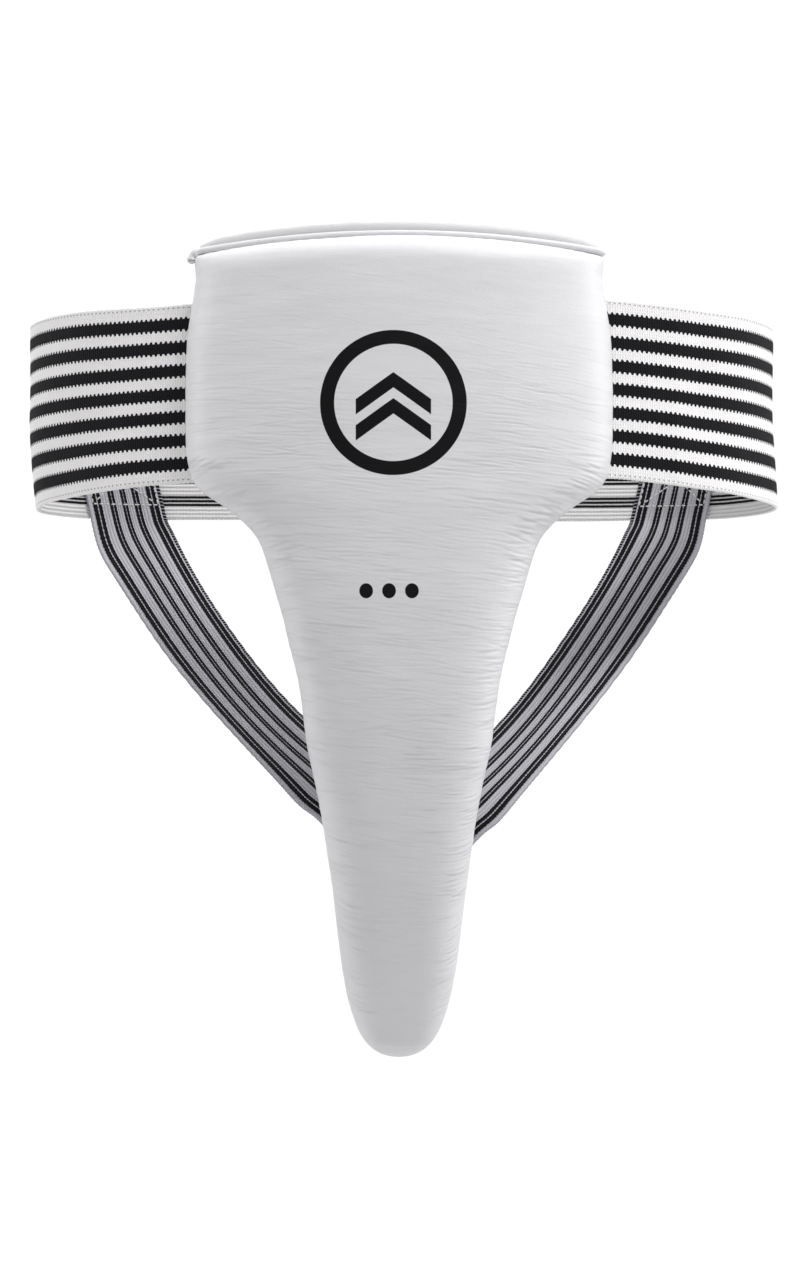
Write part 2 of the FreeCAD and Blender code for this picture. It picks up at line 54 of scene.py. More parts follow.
# ------------------------------------------------------------------ main dimensions, mm
BELT_W, BAND_T = 80.0, 1.8
STRAP_W, STRAP_T = 36.0, 1.5
STRAP_LEAN = -0.24                  # shift along the belt per mm of height where a strap is sewn on
LEFT_LIFT = 7.5                     # the left strap meets the guard this much higher
LINING_T, SKIN_T, GAP = 1.0, 1.2, 0.4
COVER_BASE = LINING_T + 0.3         # the skin's rim, out from the guard's body-side face
WRAP_R = 235.0                      # radius the guard bends to around the body
TOP_DROP, TIP_ARC = 5.0, 8.0        # bow of the top edge and of the tip
ROLL_TOP, ROLL_TIP = 15.0, 20.0     # length over which the dome rises from the top and the tip
LIP, PIPING_R = 7.4, 1.6
Z_TOP, Z_TIP = 67.1, -284.6
DROP = 3.0                          # the outline tables sit this much higher than the guard
LEFT_Y, RIGHT_Y = 56.5, 62.5        # mid thickness of each belt half at the closure
LEFT_BACK = LEFT_Y + BAND_T / 2     # the +Y face of the left half
RIGHT_FRONT = RIGHT_Y - BAND_T / 2
RIGHT_BACK = RIGHT_Y + BAND_T / 2
SEWN_HIGH = {-1: 0.8, 1: 2.8}       # mm above the level line where each half leaves the guard
BELT_STRIPE, STRIPE_SHIFT = 10.41, 0.2
BELT_CORD_OUT, BELT_CORD_IN = 1.30, 1.75    # pitch of the fine cords across the two belt faces
STRAP_STRIPE, STRAP_CORD = 7.3, 1.46
STRAP_ON_BELT = BAND_T / 2 + GAP    # from the belt's mid thickness in to the strap

# z, y of the guard's body-side face down its centre line
PROFILE = [
    (74.0, -97.2), (60.0, -97.8), (42.0, -98.0), (0.0, -98.0), (-42.0, -98.0), (-80.0, -96.0),
    (-120.0, -90.5), (-160.0, -80.5), (-200.0, -65.5), (-240.0, -45.5), (-265.0, -30.5),
    (-300.0, -7.5)]
# z, half width of the guard
HALF_W = [
    (72.0, 90.4), (62.9, 90.7), (55.0, 90.1), (48.0, 90.9), (41.8, 91.8), (32.0, 93.4),
    (22.0, 94.2), (2.0, 94.6), (-19.0, 94.4), (-29.5, 93.1), (-36.0, 90.9), (-40.5, 87.4),
    (-44.9, 81.6), (-49.3, 75.6), (-54.6, 69.5), (-58.5, 65.6), (-65.0, 61.3), (-72.6, 58.6),
    (-81.0, 56.1), (-90.0, 53.5), (-99.0, 50.8), (-108.0, 48.6), (-116.5, 46.3), (-125.0, 44.5),
    (-134.0, 43.1), (-143.0, 42.0), (-152.0, 40.8), (-160.6, 39.1), (-169.0, 37.2),
    (-178.0, 35.3), (-187.0, 33.7), (-196.0, 32.3), (-204.6, 31.0), (-213.0, 29.7),
    (-222.0, 28.6), (-231.0, 27.5), (-240.0, 26.4), (-249.0, 25.0), (-257.0, 23.6),
    (-262.0, 22.3), (-266.0, 20.8), (-270.0, 18.9), (-273.0, 17.0), (-285.0, 8.0)]
# share of the guard's length, height of the dome
THICKNESS = [(0, 24.0), (0.2, 26.5), (0.5, 27.0), (0.8, 25.0), (1.0, 22.0)]
# x, y control points of a belt half in plan, drawn at -X: on the guard (x only), flank, rear
ON_GUARD_X = (-76.0, -86.0, -95.0)
FLANK = [(-109.5, -70.2), (-125.0, -59.5), (-140.0, -46.5)]
LEFT_REAR = [
    (-152.4, -31.0), (-161.3, -13.5), (-166.5, 4.5), (-167.0, 22.0), (-160.6, 37.0),
    (-147.2, 48.2), (-128.5, 53.8), (-106.0, 55.9), (-80.0, 56.5), (-55.0, 56.5), (-30.0, 56.5),
    (-15.0, 56.5), (-4.0, 56.5)]
RIGHT_REAR = [
    (-153.0, -31.0), (-162.5, -13.5), (-168.2, 4.5), (-168.8, 22.0), (-162.5, 39.0),
    (-148.5, 52.0), (-128.5, 59.2), (-106.0, 61.8), (-80.0, 62.5), (-55.0, 62.5), (-30.0, 62.5),
    (-15.0, 62.5), (-5.5, 62.5)]
# free run of a leg strap: x, y, z, turn of its face in degrees, share of the lift it takes
STRAP_FREE = [
    (-120.8, 50.0, -49.6, 12, 0.0), (-114.6, 42.4, -61.8, 23, 0.0),
    (-104.0, 29.5, -80.4, 28, 0.0), (-91.9, 13.0, -100.2, 29, 0.05),
    (-78.6, -5.0, -120.2, 33, 0.20), (-64.0, -24.0, -140.1, 36, 0.42),
    (-49.5, -41.0, -157.6, 34, 0.66), (-37.8, -54.2, -170.5, 27, 0.86),
    (-29.4, -62.6, -179.4, 14, 0.96)]
# x, z of the strap's end sewn to the guard
STRAP_SEWN = [(-25.0, -183.8), (-20.1, -188.7), (-15.2, -193.6)]


# ------------------------------------------------------------------ curves
def pchip(table):
    """Monotone cubic through the table, carried on straight beyond its ends."""
    xs, ys = np.array(sorted(table)).T
    h = np.diff(xs)
    d = np.diff(ys) / h
    m = np.zeros(len(xs))
    m[0], m[-1] = d[0], d[-1]
    for i in range(1, len(xs) - 1):
        if d[i - 1] * d[i] > 0:
            w1, w2 = 2 * h[i] + h[i - 1], h[i] + 2 * h[i - 1]
            m[i] = (w1 + w2) / (w1 / d[i - 1] + w2 / d[i])

    def curve(x):
        x = np.asarray(x, float)
        i = np.clip(np.searchsorted(xs, x, side="right") - 1, 0, len(xs) - 2)
        t = (x - xs[i]) / h[i]
        y = ((2 * t ** 3 - 3 * t ** 2 + 1) * ys[i] + (t ** 3 - 2 * t ** 2 + t) * h[i] * m[i]
             + (-2 * t ** 3 + 3 * t ** 2) * ys[i + 1] + (t ** 3 - t ** 2) * h[i] * m[i + 1])
        y = np.where(x < xs[0], ys[0] + d[0] * (x - xs[0]), y)
        return np.where(x > xs[-1], ys[-1] + d[-1] * (x - xs[-1]), y)
    return curve


def arc_of(points):
    """Distance along a polyline at each of its points."""
    return np.concatenate([[0], np.cumsum(np.linalg.norm(np.diff(points, axis=0), axis=1))])


def unit(v):
    return v / np.maximum(np.linalg.norm(v, axis=-1, keepdims=True), 1e-12)


def clip01(x):
    return np.clip(x, 0, 1)


def smoothstep(x):
    x = clip01(x)
    return x * x * (3 - 2 * x)


def round_off(distance, radius, floor=0.0):
    """Height, 0..1, of a quarter round at this distance in from an edge."""
    return np.sqrt(np.clip(1 - (1 - clip01(distance / radius)) ** 2, floor, 1))


def resample(points, step):
    """Evenly spaced points along a polyline, and the arc length of each."""
    arc = arc_of(points)
    u = np.linspace(0, arc[-1], max(4, int(round(arc[-1] / step)) + 1))
    return np.stack([np.interp(u, arc, column) for column in points.T], -1), u


def bspline(poles, count):
    """Clamped uniform cubic through its control points, count samples."""
    poles = np.asarray(poles, float)
    n, degree = len(poles), min(3, len(poles) - 1)
    spans = n - degree
    knots = np.concatenate([np.zeros(degree), np.arange(spans + 1), np.full(degree, spans)])
    t = np.clip(np.linspace(0, spans, count), 0, spans - 1e-9)
    basis = np.array([(a <= t) & (t < b) for a, b in zip(knots[:-1], knots[1:])], float)
    for k in range(1, degree + 1):
        raised = []
        for i in range(len(knots) - 1 - k):
            total = 0 * t
            if knots[i + k] > knots[i]:
                total = total + (t - knots[i]) / (knots[i + k] - knots[i]) * basis[i]
            if knots[i + k + 1] > knots[i + 1]:
                share = (knots[i + k + 1] - t) / (knots[i + k + 1] - knots[i + 1])
                total = total + share * basis[i + 1]
            raised.append(total)
        basis = np.array(raised)
    return basis.T @ poles


# ------------------------------------------------------------------ the guard's own coordinates
# x across, s down its centre line from the top edge, n out (-Y) from its body-side face
back_y = pchip([(z - DROP, y) for z, y in PROFILE])
half_w = pchip([(z - DROP, w) for z, w in HALF_W])
thick = pchip(THICKNESS)
LINE_Z = np.arange(Z_TOP + 8.0, Z_TIP - 12.5, -0.25)
LINE_S = arc_of(np.stack([LINE_Z, back_y(LINE_Z)], -1))
LINE_S -= np.interp(-Z_TOP, -LINE_Z, LINE_S)
LENGTH = float(np.interp(-Z_TIP, -LINE_Z, LINE_S))


def z_of(s):
    return np.interp(s, LINE_S, LINE_Z)


def s_of_z(z):
    return np.interp(-np.asarray(z, float), -LINE_Z, LINE_S)


def slope_at(z):
    """dy/dz of the centre line, and the length of (1, slope)."""
    g = back_y(z + 0.5) - back_y(z - 0.5)
    return g, np.sqrt(1 + g * g)


def point(x, s, n):
    """Place in the frame of guard coordinates; arrays in, (..., 3) out."""
    x, s, n = np.broadcast_arrays(x, s, n)
    z = z_of(s)
    g, k = slope_at(z)
    out = n - x * x / (2 * WRAP_R)
    return np.stack([x, back_y(z) - out / k, z + out * g / k], -1)


def normal_at(s):
    g, k = slope_at(z_of(s))
    return np.stack([np.zeros_like(k), -1 / k, g / k], -1)


def planform(across, down, inset=0.0):
    """x, s of a place given as across -1..1 and down 0..1."""
    s = inset + down * (LENGTH - 2 * inset)
    bow = TOP_DROP * np.exp(-s / 35.0) - TIP_ARC * np.exp(-(LENGTH - s) / 14.0)
    side = s + bow
    return across * (half_w(z_of(side)) - inset), s + (side - s) * across * across


def dome_across(across):
    return np.maximum(0, 1 - np.abs(across) ** 3.3) ** (1 / 2.6)


def dome(across, down):
    s = down * LENGTH
    height = dome_across(across)
    for distance, roll in ((s, ROLL_TOP), (LENGTH - s, ROLL_TIP)):
        height = height * np.maximum(0, 1 - clip01(1 - distance / roll) ** 3) ** (1 / 2.3)
    return height


# ------------------------------------------------------------------ meshes
def build(name, verts, faces, uv, mats, mat_index=None, smooth=True, attrs=None):
    """Closed mesh with outward normals: verts and the per-vertex uv in mm."""
    me = bpy.data.meshes.new(name)
    me.from_pydata((np.asarray(verts) * MM).tolist(), [],
                   [tuple(int(i) for i in f) for f in faces])
    layer = me.uv_layers.new(name="UVMap")
    corner = np.zeros(len(me.loops), np.int64)
    me.loops.foreach_get("vertex_index", corner)
    layer.data.foreach_set("uv", np.asarray(uv, np.float32)[corner].ravel())
    for key, values in (attrs or {}).items():
        attribute = me.attributes.new(key, "FLOAT", "POINT")
        attribute.data.foreach_set("value", np.asarray(values, np.float32))
    for mat in mats:
        me.materials.append(mat)
    if mat_index is not None:
        me.polygons.foreach_set("material_index", np.asarray(mat_index, np.int32))
    me.polygons.foreach_set("use_smooth", np.full(len(me.polygons), smooth))
    me.validate()
    me.update()
    ob = bpy.data.objects.new(name, me)
    bpy.context.scene.collection.objects.link(ob)
    bm = bmesh.new()
    bm.from_mesh(me)
    bmesh.ops.recalc_face_normals(bm, faces=bm.faces)
    if bm.calc_volume(signed=True) < 0:
        bmesh.ops.reverse_faces(bm, faces=bm.faces)
    bm.to_mesh(me)
    bm.free()
    return ob


def register(ob, slot, body, *replaced):
    if replaced:
        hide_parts(*replaced)
    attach(ob, body)


def wall_faces(rings, sides, base=0):
    """Quads between successive closed rings of vertices."""
    faces = []
    for i in range(rings - 1):
        for j in range(sides):
            a, b = base + i * sides + j, base + i * sides + (j + 1) % sides
            faces.append((a, b, b + sides, a + sides))
    return faces


def ribbon_faces(rows, around):
    """Wall of a flat closed section, with strips across its thickness at both ends."""
    faces = [(a, d, c, b) for a, b, c, d in wall_faces(rows, around)]
    for row, reverse in ((0, False), (rows - 1, True)):
        ring = np.arange(around) + row * around
        for q in range(around // 2 - 1):
            face = [ring[q], ring[q + 1], ring[around - 2 - q], ring[around - 1 - q]]
            faces.append(face[::-1] if reverse else face)
    return faces


def grid_quads(grid):
    return np.stack([grid[:-1, :-1], grid[1:, :-1], grid[1:, 1:], grid[:-1, 1:]],
                    -1).reshape(-1, 4)


def shell(name, top, bottom, uv_top, uv_bottom, mats, bottom_mat=0, attrs=None):
    """Closed solid from a top grid and a bottom grid, maybe coarser, with the same outline."""
    g = np.arange(top[..., 0].size).reshape(top.shape[:2])
    h = np.arange(bottom[..., 0].size).reshape(bottom.shape[:2]) + g.size
    verts = np.concatenate([top.reshape(-1, 3), bottom.reshape(-1, 3)])
    uv = np.concatenate([uv_top.reshape(-1, 2), uv_bottom.reshape(-1, 2)])
    top_faces, bottom_faces = grid_quads(g), grid_quads(h)[:, ::-1]
    rim = []
    for p, q in ((g[0], h[0]), (g[:, -1], h[:, -1]), (g[-1, ::-1], h[-1, ::-1]),
                 (g[::-1, 0], h[::-1, 0])):
        i = j = 0
        last_i, last_j = len(p) - 1, len(q) - 1
        while i < last_i or j < last_j:
            if j >= last_j or (i < last_i and (i + 1) / last_i <= (j + 1) / last_j):
                rim.append((q[j], p[i + 1], p[i]))
                i += 1
            else:
                rim.append((q[j], q[j + 1], p[i]))
                j += 1
    faces = list(top_faces) + list(bottom_faces) + rim
    index = [0] * len(top_faces) + [bottom_mat] * len(bottom_faces) + [0] * len(rim)
    padded = {key: np.concatenate([values.ravel(), np.zeros(h.size)])
              for key, values in (attrs or {}).items()}
    return build(name, verts, faces, uv, mats, index, attrs=padded)


# ------------------------------------------------------------------ materials
def add_node(tree, kind, values=(), **settings):
    """Add a shader node; values fill its inputs by name (dict) or in order, None skips one."""
    node = tree.nodes.new(kind)
    for key, value in settings.items():
        setattr(node, key, value)
    pairs = values.items() if isinstance(values, dict) else enumerate(values)
    for key, value in pairs:
        if value is not None:
            put(tree, node.inputs[key], value)
    return node


def put(tree, socket, value):
    """Link a socket to an output, or set it to a constant."""
    if isinstance(value, bpy.types.NodeSocket):
        tree.links.new(value, socket)
    else:
        socket.default_value = value


def rgba(color):
    return color if isinstance(color, bpy.types.NodeSocket) else (*color, 1)


def dim(color, share):
    return tuple(c * share for c in color)


class Mat:
    """A Principled material; u and v are its UV coordinates in mm."""

    def __init__(self, name, rough, spec, flat=True):
        self.m = bpy.data.materials.new(name)
        self.m.use_nodes = True
        self.tree = self.m.node_tree
        self.tree.nodes.clear()
        out = self.node("ShaderNodeOutputMaterial")
        shader = self.node("ShaderNodeBsdfPrincipled")
        self.tree.links.new(shader.outputs[0], out.inputs["Surface"])
        self.inputs = shader.inputs
        self.set("Roughness", rough)
        self.set("Specular IOR Level", spec)
        coords = self.node("ShaderNodeTexCoord").outputs
        self.obj = coords["Object"]
        if flat:
            self.u, self.v = self.node("ShaderNodeSeparateXYZ", [coords["UV"]]).outputs[:2]

    def node(self, kind, values=(), **settings):
        return add_node(self.tree, kind, values, **settings)

    def set(self, key, value):
        put(self.tree, self.inputs[key], value)

    def math(self, op, *values, clamp=False):
        return self.node("ShaderNodeMath", values, operation=op, use_clamp=clamp).outputs[0]

    def add(self, a, b):
        return self.math("ADD", a, b)

    def sub(self, a, b):
        return self.math("SUBTRACT", a, b)

    def mul(self, a, b):
        return self.math("MULTIPLY", a, b)

    def scaled(self, value, gain, offset):
        return self.math("MULTIPLY_ADD", value, gain, offset)

    def abs(self, a):
        return self.math("ABSOLUTE", a)

    def hypot(self, x, y):
        return self.math("SQRT", self.add(self.mul(x, x), self.mul(y, y)))

    def combine(self, x, y):
        return self.node("ShaderNodeCombineXYZ", [x, y]).outputs[0]

    def noise(self, vec, scale, detail=3.0, rough=0.5, distort=0.0):
        values = {"Vector": vec, "Scale": scale, "Detail": detail, "Roughness": rough,
                  "Distortion": distort}
        return self.node("ShaderNodeTexNoise", values).outputs["Fac"]

    def voronoi(self, vec, scale):
        values = {"Vector": vec, "Scale": scale}
        return self.node("ShaderNodeTexVoronoi", values, feature="F1").outputs["Distance"]

    def ramp(self, value, lo, hi, start=0.0, end=1.0):
        """start up to lo, end beyond hi, straight between."""
        return self.node("ShaderNodeMapRange", [value, lo, hi, start, end]).outputs[0]

    def below(self, value, lo, hi):
        """1 up to lo, 0 beyond hi."""
        return self.ramp(value, lo, hi, start=1.0, end=0.0)

    def mix(self, fac, a, b):
        values = {0: fac, 6: rgba(a), 7: rgba(b)}
        return self.node("ShaderNodeMix", values, data_type="RGBA").outputs[2]

    def bump(self, height, depth, strength, normal=None):
        """Depth is in metres."""
        values = {"Strength": strength, "Distance": depth, "Height": height, "Normal": normal}
        return self.node("ShaderNodeBump", values).outputs[0]

    def wave(self, coord, pitch, phase=0.0):
        """0..1 sine of a coordinate with this pitch."""
        angle = self.scaled(coord, gain=2 * math.pi / pitch, offset=phase)
        return self.scaled(self.math("SINE", angle), gain=0.5, offset=0.5)

    def repeat(self, coord, pitch, shift=0.0):
        """-0.5..0.5 within each pitch."""
        steps = self.scaled(coord, gain=1 / pitch, offset=shift / pitch + 10.5)
        return self.sub(self.math("FRACT", steps), 0.5)

    def off_centre(self, coord, pitch, shift=0.0):
        """Distance in mm from the middle of the nearest repeat."""
        return self.mul(self.abs(self.repeat(coord, pitch, shift)), pitch)

    def finish(self, color, rough, normal, sheen=None):
        self.set("Base Color", rgba(color))
        self.set("Roughness", rough)
        self.set("Normal", normal)
        if sheen is not None:
            self.set("Sheen Weight", sheen)
            self.set("Sheen Roughness", 0.5)
        return self.m


# printed marks on the guard, mm in x and s
RING_AT, RING_R, RING_HALF = (-2.5, 76.5), 29.0, 3.1
CHEVRON_AT = (-10.0, 1.5)           # s of each chevron's point, from the ring's centre
CHEVRON_SLOPE, CHEVRON_HALF, CHEVRON_REACH = -0.72, 3.4, 16.5
DOT_X, DOT_S, DOT_PITCH, DOT_R = -4.4, 156.5, 10.0, 3.0


def printed_marks(m, flat):
    """Mask of a ring with two chevrons in it and a row of three dots below, a little worn."""
    def inside(distance, half, soft=0.06):
        return m.below(distance, half - soft, half + soft)
    x = m.sub(m.u, RING_AT[0])
    y = m.sub(m.v, RING_AT[1])
    aside = m.abs(x)
    marks = inside(m.abs(m.sub(m.hypot(x, y), RING_R)), RING_HALF)
    for at in CHEVRON_AT:
        off = m.abs(m.sub(m.scaled(aside, CHEVRON_SLOPE, y), at))
        chevron = m.mul(inside(off, CHEVRON_HALF), inside(aside, CHEVRON_REACH))
        marks = m.math("MAXIMUM", marks, chevron)
    dot_y = m.sub(m.v, DOT_S)
    for k in (-1, 0, 1):
        dot = inside(m.hypot(m.sub(m.u, DOT_X + k * DOT_PITCH), dot_y), DOT_R)
        marks = m.math("MAXIMUM", marks, dot)
    worn = m.ramp(m.noise(flat, scale=1.8, detail=4.0, rough=0.7), lo=0.16, hi=0.24)
    return m.mul(marks, worn)


def leather(name, tint=(0.715, 0.708, 0.726), printed=False, fine=1.0):
    """Grained leather; fine scales the strength of its wrinkle lines and of the shade painted into
    them.
    """
    m = Mat(name, rough=0.42, spec=0.42)
    flat = m.combine(m.u, m.v)
    stretched = m.combine(m.mul(m.u, 0.12), m.v)
    lines = m.noise(stretched, scale=0.55, detail=5.0, rough=0.62, distort=0.35)
    grain = m.voronoi(flat, scale=1.35)
    micro = m.noise(flat, scale=2.6, detail=4.0, rough=0.6)
    soil = m.noise(flat, scale=0.022, detail=4.0, rough=0.6)
    base = m.mix(m.ramp(soil, lo=0.35, hi=0.75), tint, dim(tint, 0.965))
    # the grooves of the wrinkle lines are darkened: painted shade in the lines
    line_shade = m.ramp(lines, lo=0.30, hi=0.46, start=0.09 * fine, end=0.0)
    base = m.mix(line_shade, base, dim(tint, 0.86))
    # the crease attribute darkens the leather along the creases: painted shade
    crease = m.node("ShaderNodeAttribute", attribute_name="crease").outputs["Fac"]
    crease_shade_share = m.math("MULTIPLY", crease, 0.42, clamp=True)
    base = m.mix(crease_shade_share, base, dim(tint, 0.70))
    rough = m.ramp(micro, lo=0.3, hi=0.7, start=0.36, end=0.50)
    line_depth = 0.6
    if printed:
        marks = printed_marks(m, flat)
        base = m.mix(marks, base, (0.004, 0.004, 0.005))
        rough = m.scaled(marks, gain=0.12, offset=rough)
        m.set("Specular IOR Level", m.scaled(marks, gain=-0.28, offset=0.42))
        # the upper part is smoother
        line_depth = m.ramp(m.v, lo=40.0, hi=170.0, start=0.30, end=1.0)
    normal = m.bump(m.mul(lines, line_depth), depth=0.00015 * fine, strength=0.8)
    normal = m.bump(grain, depth=0.00006, strength=0.6, normal=normal)
    normal = m.bump(micro, depth=0.00007, strength=0.7, normal=normal)
    return m.finish(base, rough, normal)


# Knit patterns return the dark mask, the rib height and a third mask: the dotted lines on the
# belt's outer face, painted shade in the cord grooves on its inner face and the strap.
STRIPED_HALF = 35.5                 # the belt's stripes stop here


def knit_height(m, rib, cord, rib_share):
    return m.add(m.mul(rib, rib_share), m.mul(cord, 1 - rib_share))


def belt_outer_pattern(m, jitter):
    """Wide dark stripes with toothed edges, and a dotted line near each selvedge."""
    off = m.off_centre(m.v, BELT_STRIPE, STRIPE_SHIFT)
    teeth = m.ramp(m.wave(m.u, pitch=2.5), lo=0.25, hi=0.75)
    off = m.add(off, m.scaled(teeth, gain=0.95, offset=-0.48))
    off = m.add(off, m.scaled(jitter, gain=0.6, offset=-0.30))
    striped = m.below(m.abs(m.v), lo=STRIPED_HALF, hi=STRIPED_HALF + 0.2)
    black = m.mul(m.below(off, lo=2.76, hi=2.84), striped)
    slanted = m.add(m.u, m.mul(m.math("PINGPONG", m.v, 0.9), 0.5))
    height = knit_height(m, m.wave(slanted, pitch=1.25), m.wave(m.v, BELT_CORD_OUT),
                         rib_share=0.80)
    dot_line = m.below(m.abs(m.sub(m.abs(m.v), 38.4)), lo=0.22, hi=0.34)
    dots_and_shade = m.mul(dot_line, m.math("GREATER_THAN", m.wave(m.u, pitch=2.5), 0.55))
    return black, height, dots_and_shade


def belt_inner_pattern(m, jitter):
    """Groups of thin dark lines behind each outer stripe."""
    across = m.mul(m.repeat(m.v, BELT_STRIPE, STRIPE_SHIFT), BELT_STRIPE)
    off = m.off_centre(across, BELT_CORD_IN)
    off = m.add(off, m.scaled(jitter, gain=0.25, offset=-0.12))
    black = m.mul(m.below(off, lo=0.56, hi=0.62), m.below(m.abs(across), lo=2.55, hi=2.65))
    striped = m.below(m.abs(m.v), lo=STRIPED_HALF, hi=STRIPED_HALF + 0.2)
    black = m.mul(black, striped)
    cord = m.wave(m.v, BELT_CORD_IN, phase=math.pi / 2)
    height = knit_height(m, m.wave(m.u, pitch=0.66), cord, rib_share=0.35)
    # the third mask is painted shade in the grooves between the cords
    return black, height, m.mul(m.below(cord, lo=0.0, hi=0.25), 0.35)


def strap_pattern(m, jitter):
    """Pairs of thin dark lines, and a toothed dark selvedge on one side."""
    off = m.abs(m.sub(m.off_centre(m.v, STRAP_STRIPE), 0.96))
    off = m.add(off, m.scaled(jitter, gain=0.3, offset=-0.15))
    zigzag = m.math("PINGPONG", m.u, 0.88)
    off = m.add(off, m.scaled(zigzag, gain=0.22, offset=-0.10))
    striped = m.below(m.abs(m.v), lo=16.7, hi=16.8)
    teeth = m.math("GREATER_THAN", m.wave(m.u, pitch=1.6), 0.14)
    selvedge = m.mul(m.ramp(m.v, lo=16.75, hi=16.85), teeth)
    black = m.math("MAXIMUM", m.mul(m.below(off, lo=0.75, hi=0.83), striped), selvedge)
    cord = m.wave(m.v, STRAP_CORD)
    height = knit_height(m, m.wave(m.u, pitch=0.8), cord, rib_share=0.35)
    # the third mask is painted shade in the grooves between the cords
    return black, height, m.mul(m.below(cord, lo=0.0, hi=0.22), 0.55)


def knit(name, pattern, light):
    """Ribbed elastic: u runs along it, v across."""
    m = Mat(name, rough=0.92, spec=0.10)
    jitter = m.noise(m.combine(m.u, m.v), scale=0.9, detail=2.0)
    flat = m.combine(m.u, m.v)
    black, height, dots_and_shade = pattern(m, jitter)
    # darker in the grooves between the ribs: painted shade
    valley_shade = m.mul(m.ramp(height, lo=0.0, hi=0.8, start=0.30, end=0.0), 1.0)
    body = m.mix(valley_shade, light, dim(light, 0.55))
    patches = m.ramp(m.noise(flat, scale=0.03), lo=0.4, hi=0.7, end=0.25)
    body = m.mix(patches, body, dim(light, 0.90))
    # the third mask: dotted lines on the belt's outer face, painted shade in the cord grooves on
    # the inner face and strap
    body = m.mix(dots_and_shade, body, dim(light, 0.42))
    normal = m.bump(height, depth=0.00034, strength=0.9)
    fuzz = m.noise(flat, scale=3.2, rough=0.7)
    return m.finish(m.mix(black, body, (0.006, 0.006, 0.008)),
                    m.scaled(black, gain=-0.12, offset=0.88),
                    m.bump(fuzz, depth=0.00012, strength=0.6, normal=normal), sheen=0.02)


def weave(name, color, pitch, depth, rough=0.85, sheen=0.2):
    """Plain weave: threads along u and v take turns on top."""
    m = Mat(name, rough=rough, spec=0.25)
    flat = m.combine(m.u, m.v)
    sines = [m.math("SINE", m.mul(coord, math.pi / pitch)) for coord in (m.u, m.v)]
    turn = m.math("GREATER_THAN", m.mul(*sines), 0.0)
    threads = [turn, None, m.wave(m.u, pitch), m.wave(m.v, pitch)]
    height = m.node("ShaderNodeMix", threads, data_type="FLOAT").outputs[0]
    fuzz = m.noise(flat, scale=2.5, detail=4.0, rough=0.7)
    # darker where the threads dip: painted shade between the threads
    valley_shade = m.ramp(height, lo=0.0, hi=0.7, start=0.55, end=0.0)
    base = m.mix(valley_shade, color, dim(color, 0.66))
    patches = m.ramp(m.noise(flat, scale=0.03, detail=4.0), lo=0.35, hi=0.7, end=0.6)
    base = m.mix(patches, base, dim(color, 0.88))
    normal = m.bump(height, depth=depth, strength=0.9)
    return m.finish(base, m.ramp(fuzz, lo=0.3, hi=0.7, start=rough - 0.08, end=rough + 0.06),
                    m.bump(fuzz, depth=0.0001, strength=0.5, normal=normal), sheen=sheen)


def thread(name, color):
    m = Mat(name, rough=0.6, spec=0.35)
    ply = m.wave(m.add(m.mul(m.u, 1.0), m.mul(m.v, 0.9)), pitch=0.55)
    # darker between the plies: painted shade
    valley_shade = m.ramp(ply, lo=0.0, hi=0.8, start=0.5, end=0.0)
    return m.finish(m.mix(valley_shade, color, dim(color, 0.55)),
                    m.ramp(ply, lo=0.0, hi=1.0, start=0.75, end=0.5),
                    m.bump(ply, depth=0.00012, strength=0.9), sheen=0.2)


def pile(name, color):
    m = Mat(name, rough=0.95, spec=0.15, flat=False)
    fuzz = m.noise(m.obj, scale=900.0, detail=5.0, rough=0.75)
    # darker where the fuzz is low: painted shade between the fibres
    return m.finish(m.mix(m.ramp(fuzz, lo=0.3, hi=0.65), dim(color, 0.62), color),
                    m.ramp(fuzz, lo=0.3, hi=0.7, start=0.9, end=1.0),
                    m.bump(fuzz, depth=0.0006, strength=0.9), sheen=0.5)


def foam(name, color, cells):
    m = Mat(name, rough=0.95, spec=0.2, flat=False)
    pores = m.voronoi(m.obj, scale=cells)
    # darker in the pores: painted shade
    return m.finish(m.mix(m.ramp(pores, lo=0.0, hi=0.5), dim(color, 0.7), color),
                    m.ramp(pores, lo=0.0, hi=0.6, start=0.98, end=0.85),
                    m.bump(pores, depth=0.0006, strength=0.8))


def hook_plastic(name, color):
    m = Mat(name, rough=0.45, spec=0.5, flat=False)
    mottle = m.noise(m.obj, scale=700.0)
    return m.finish(m.mix(m.ramp(mottle, lo=0.3, hi=0.7), dim(color, 0.85), color),
                    m.ramp(mottle, lo=0.3, hi=0.7, start=0.38, end=0.55),
                    m.bump(mottle, depth=0.0001, strength=0.4))


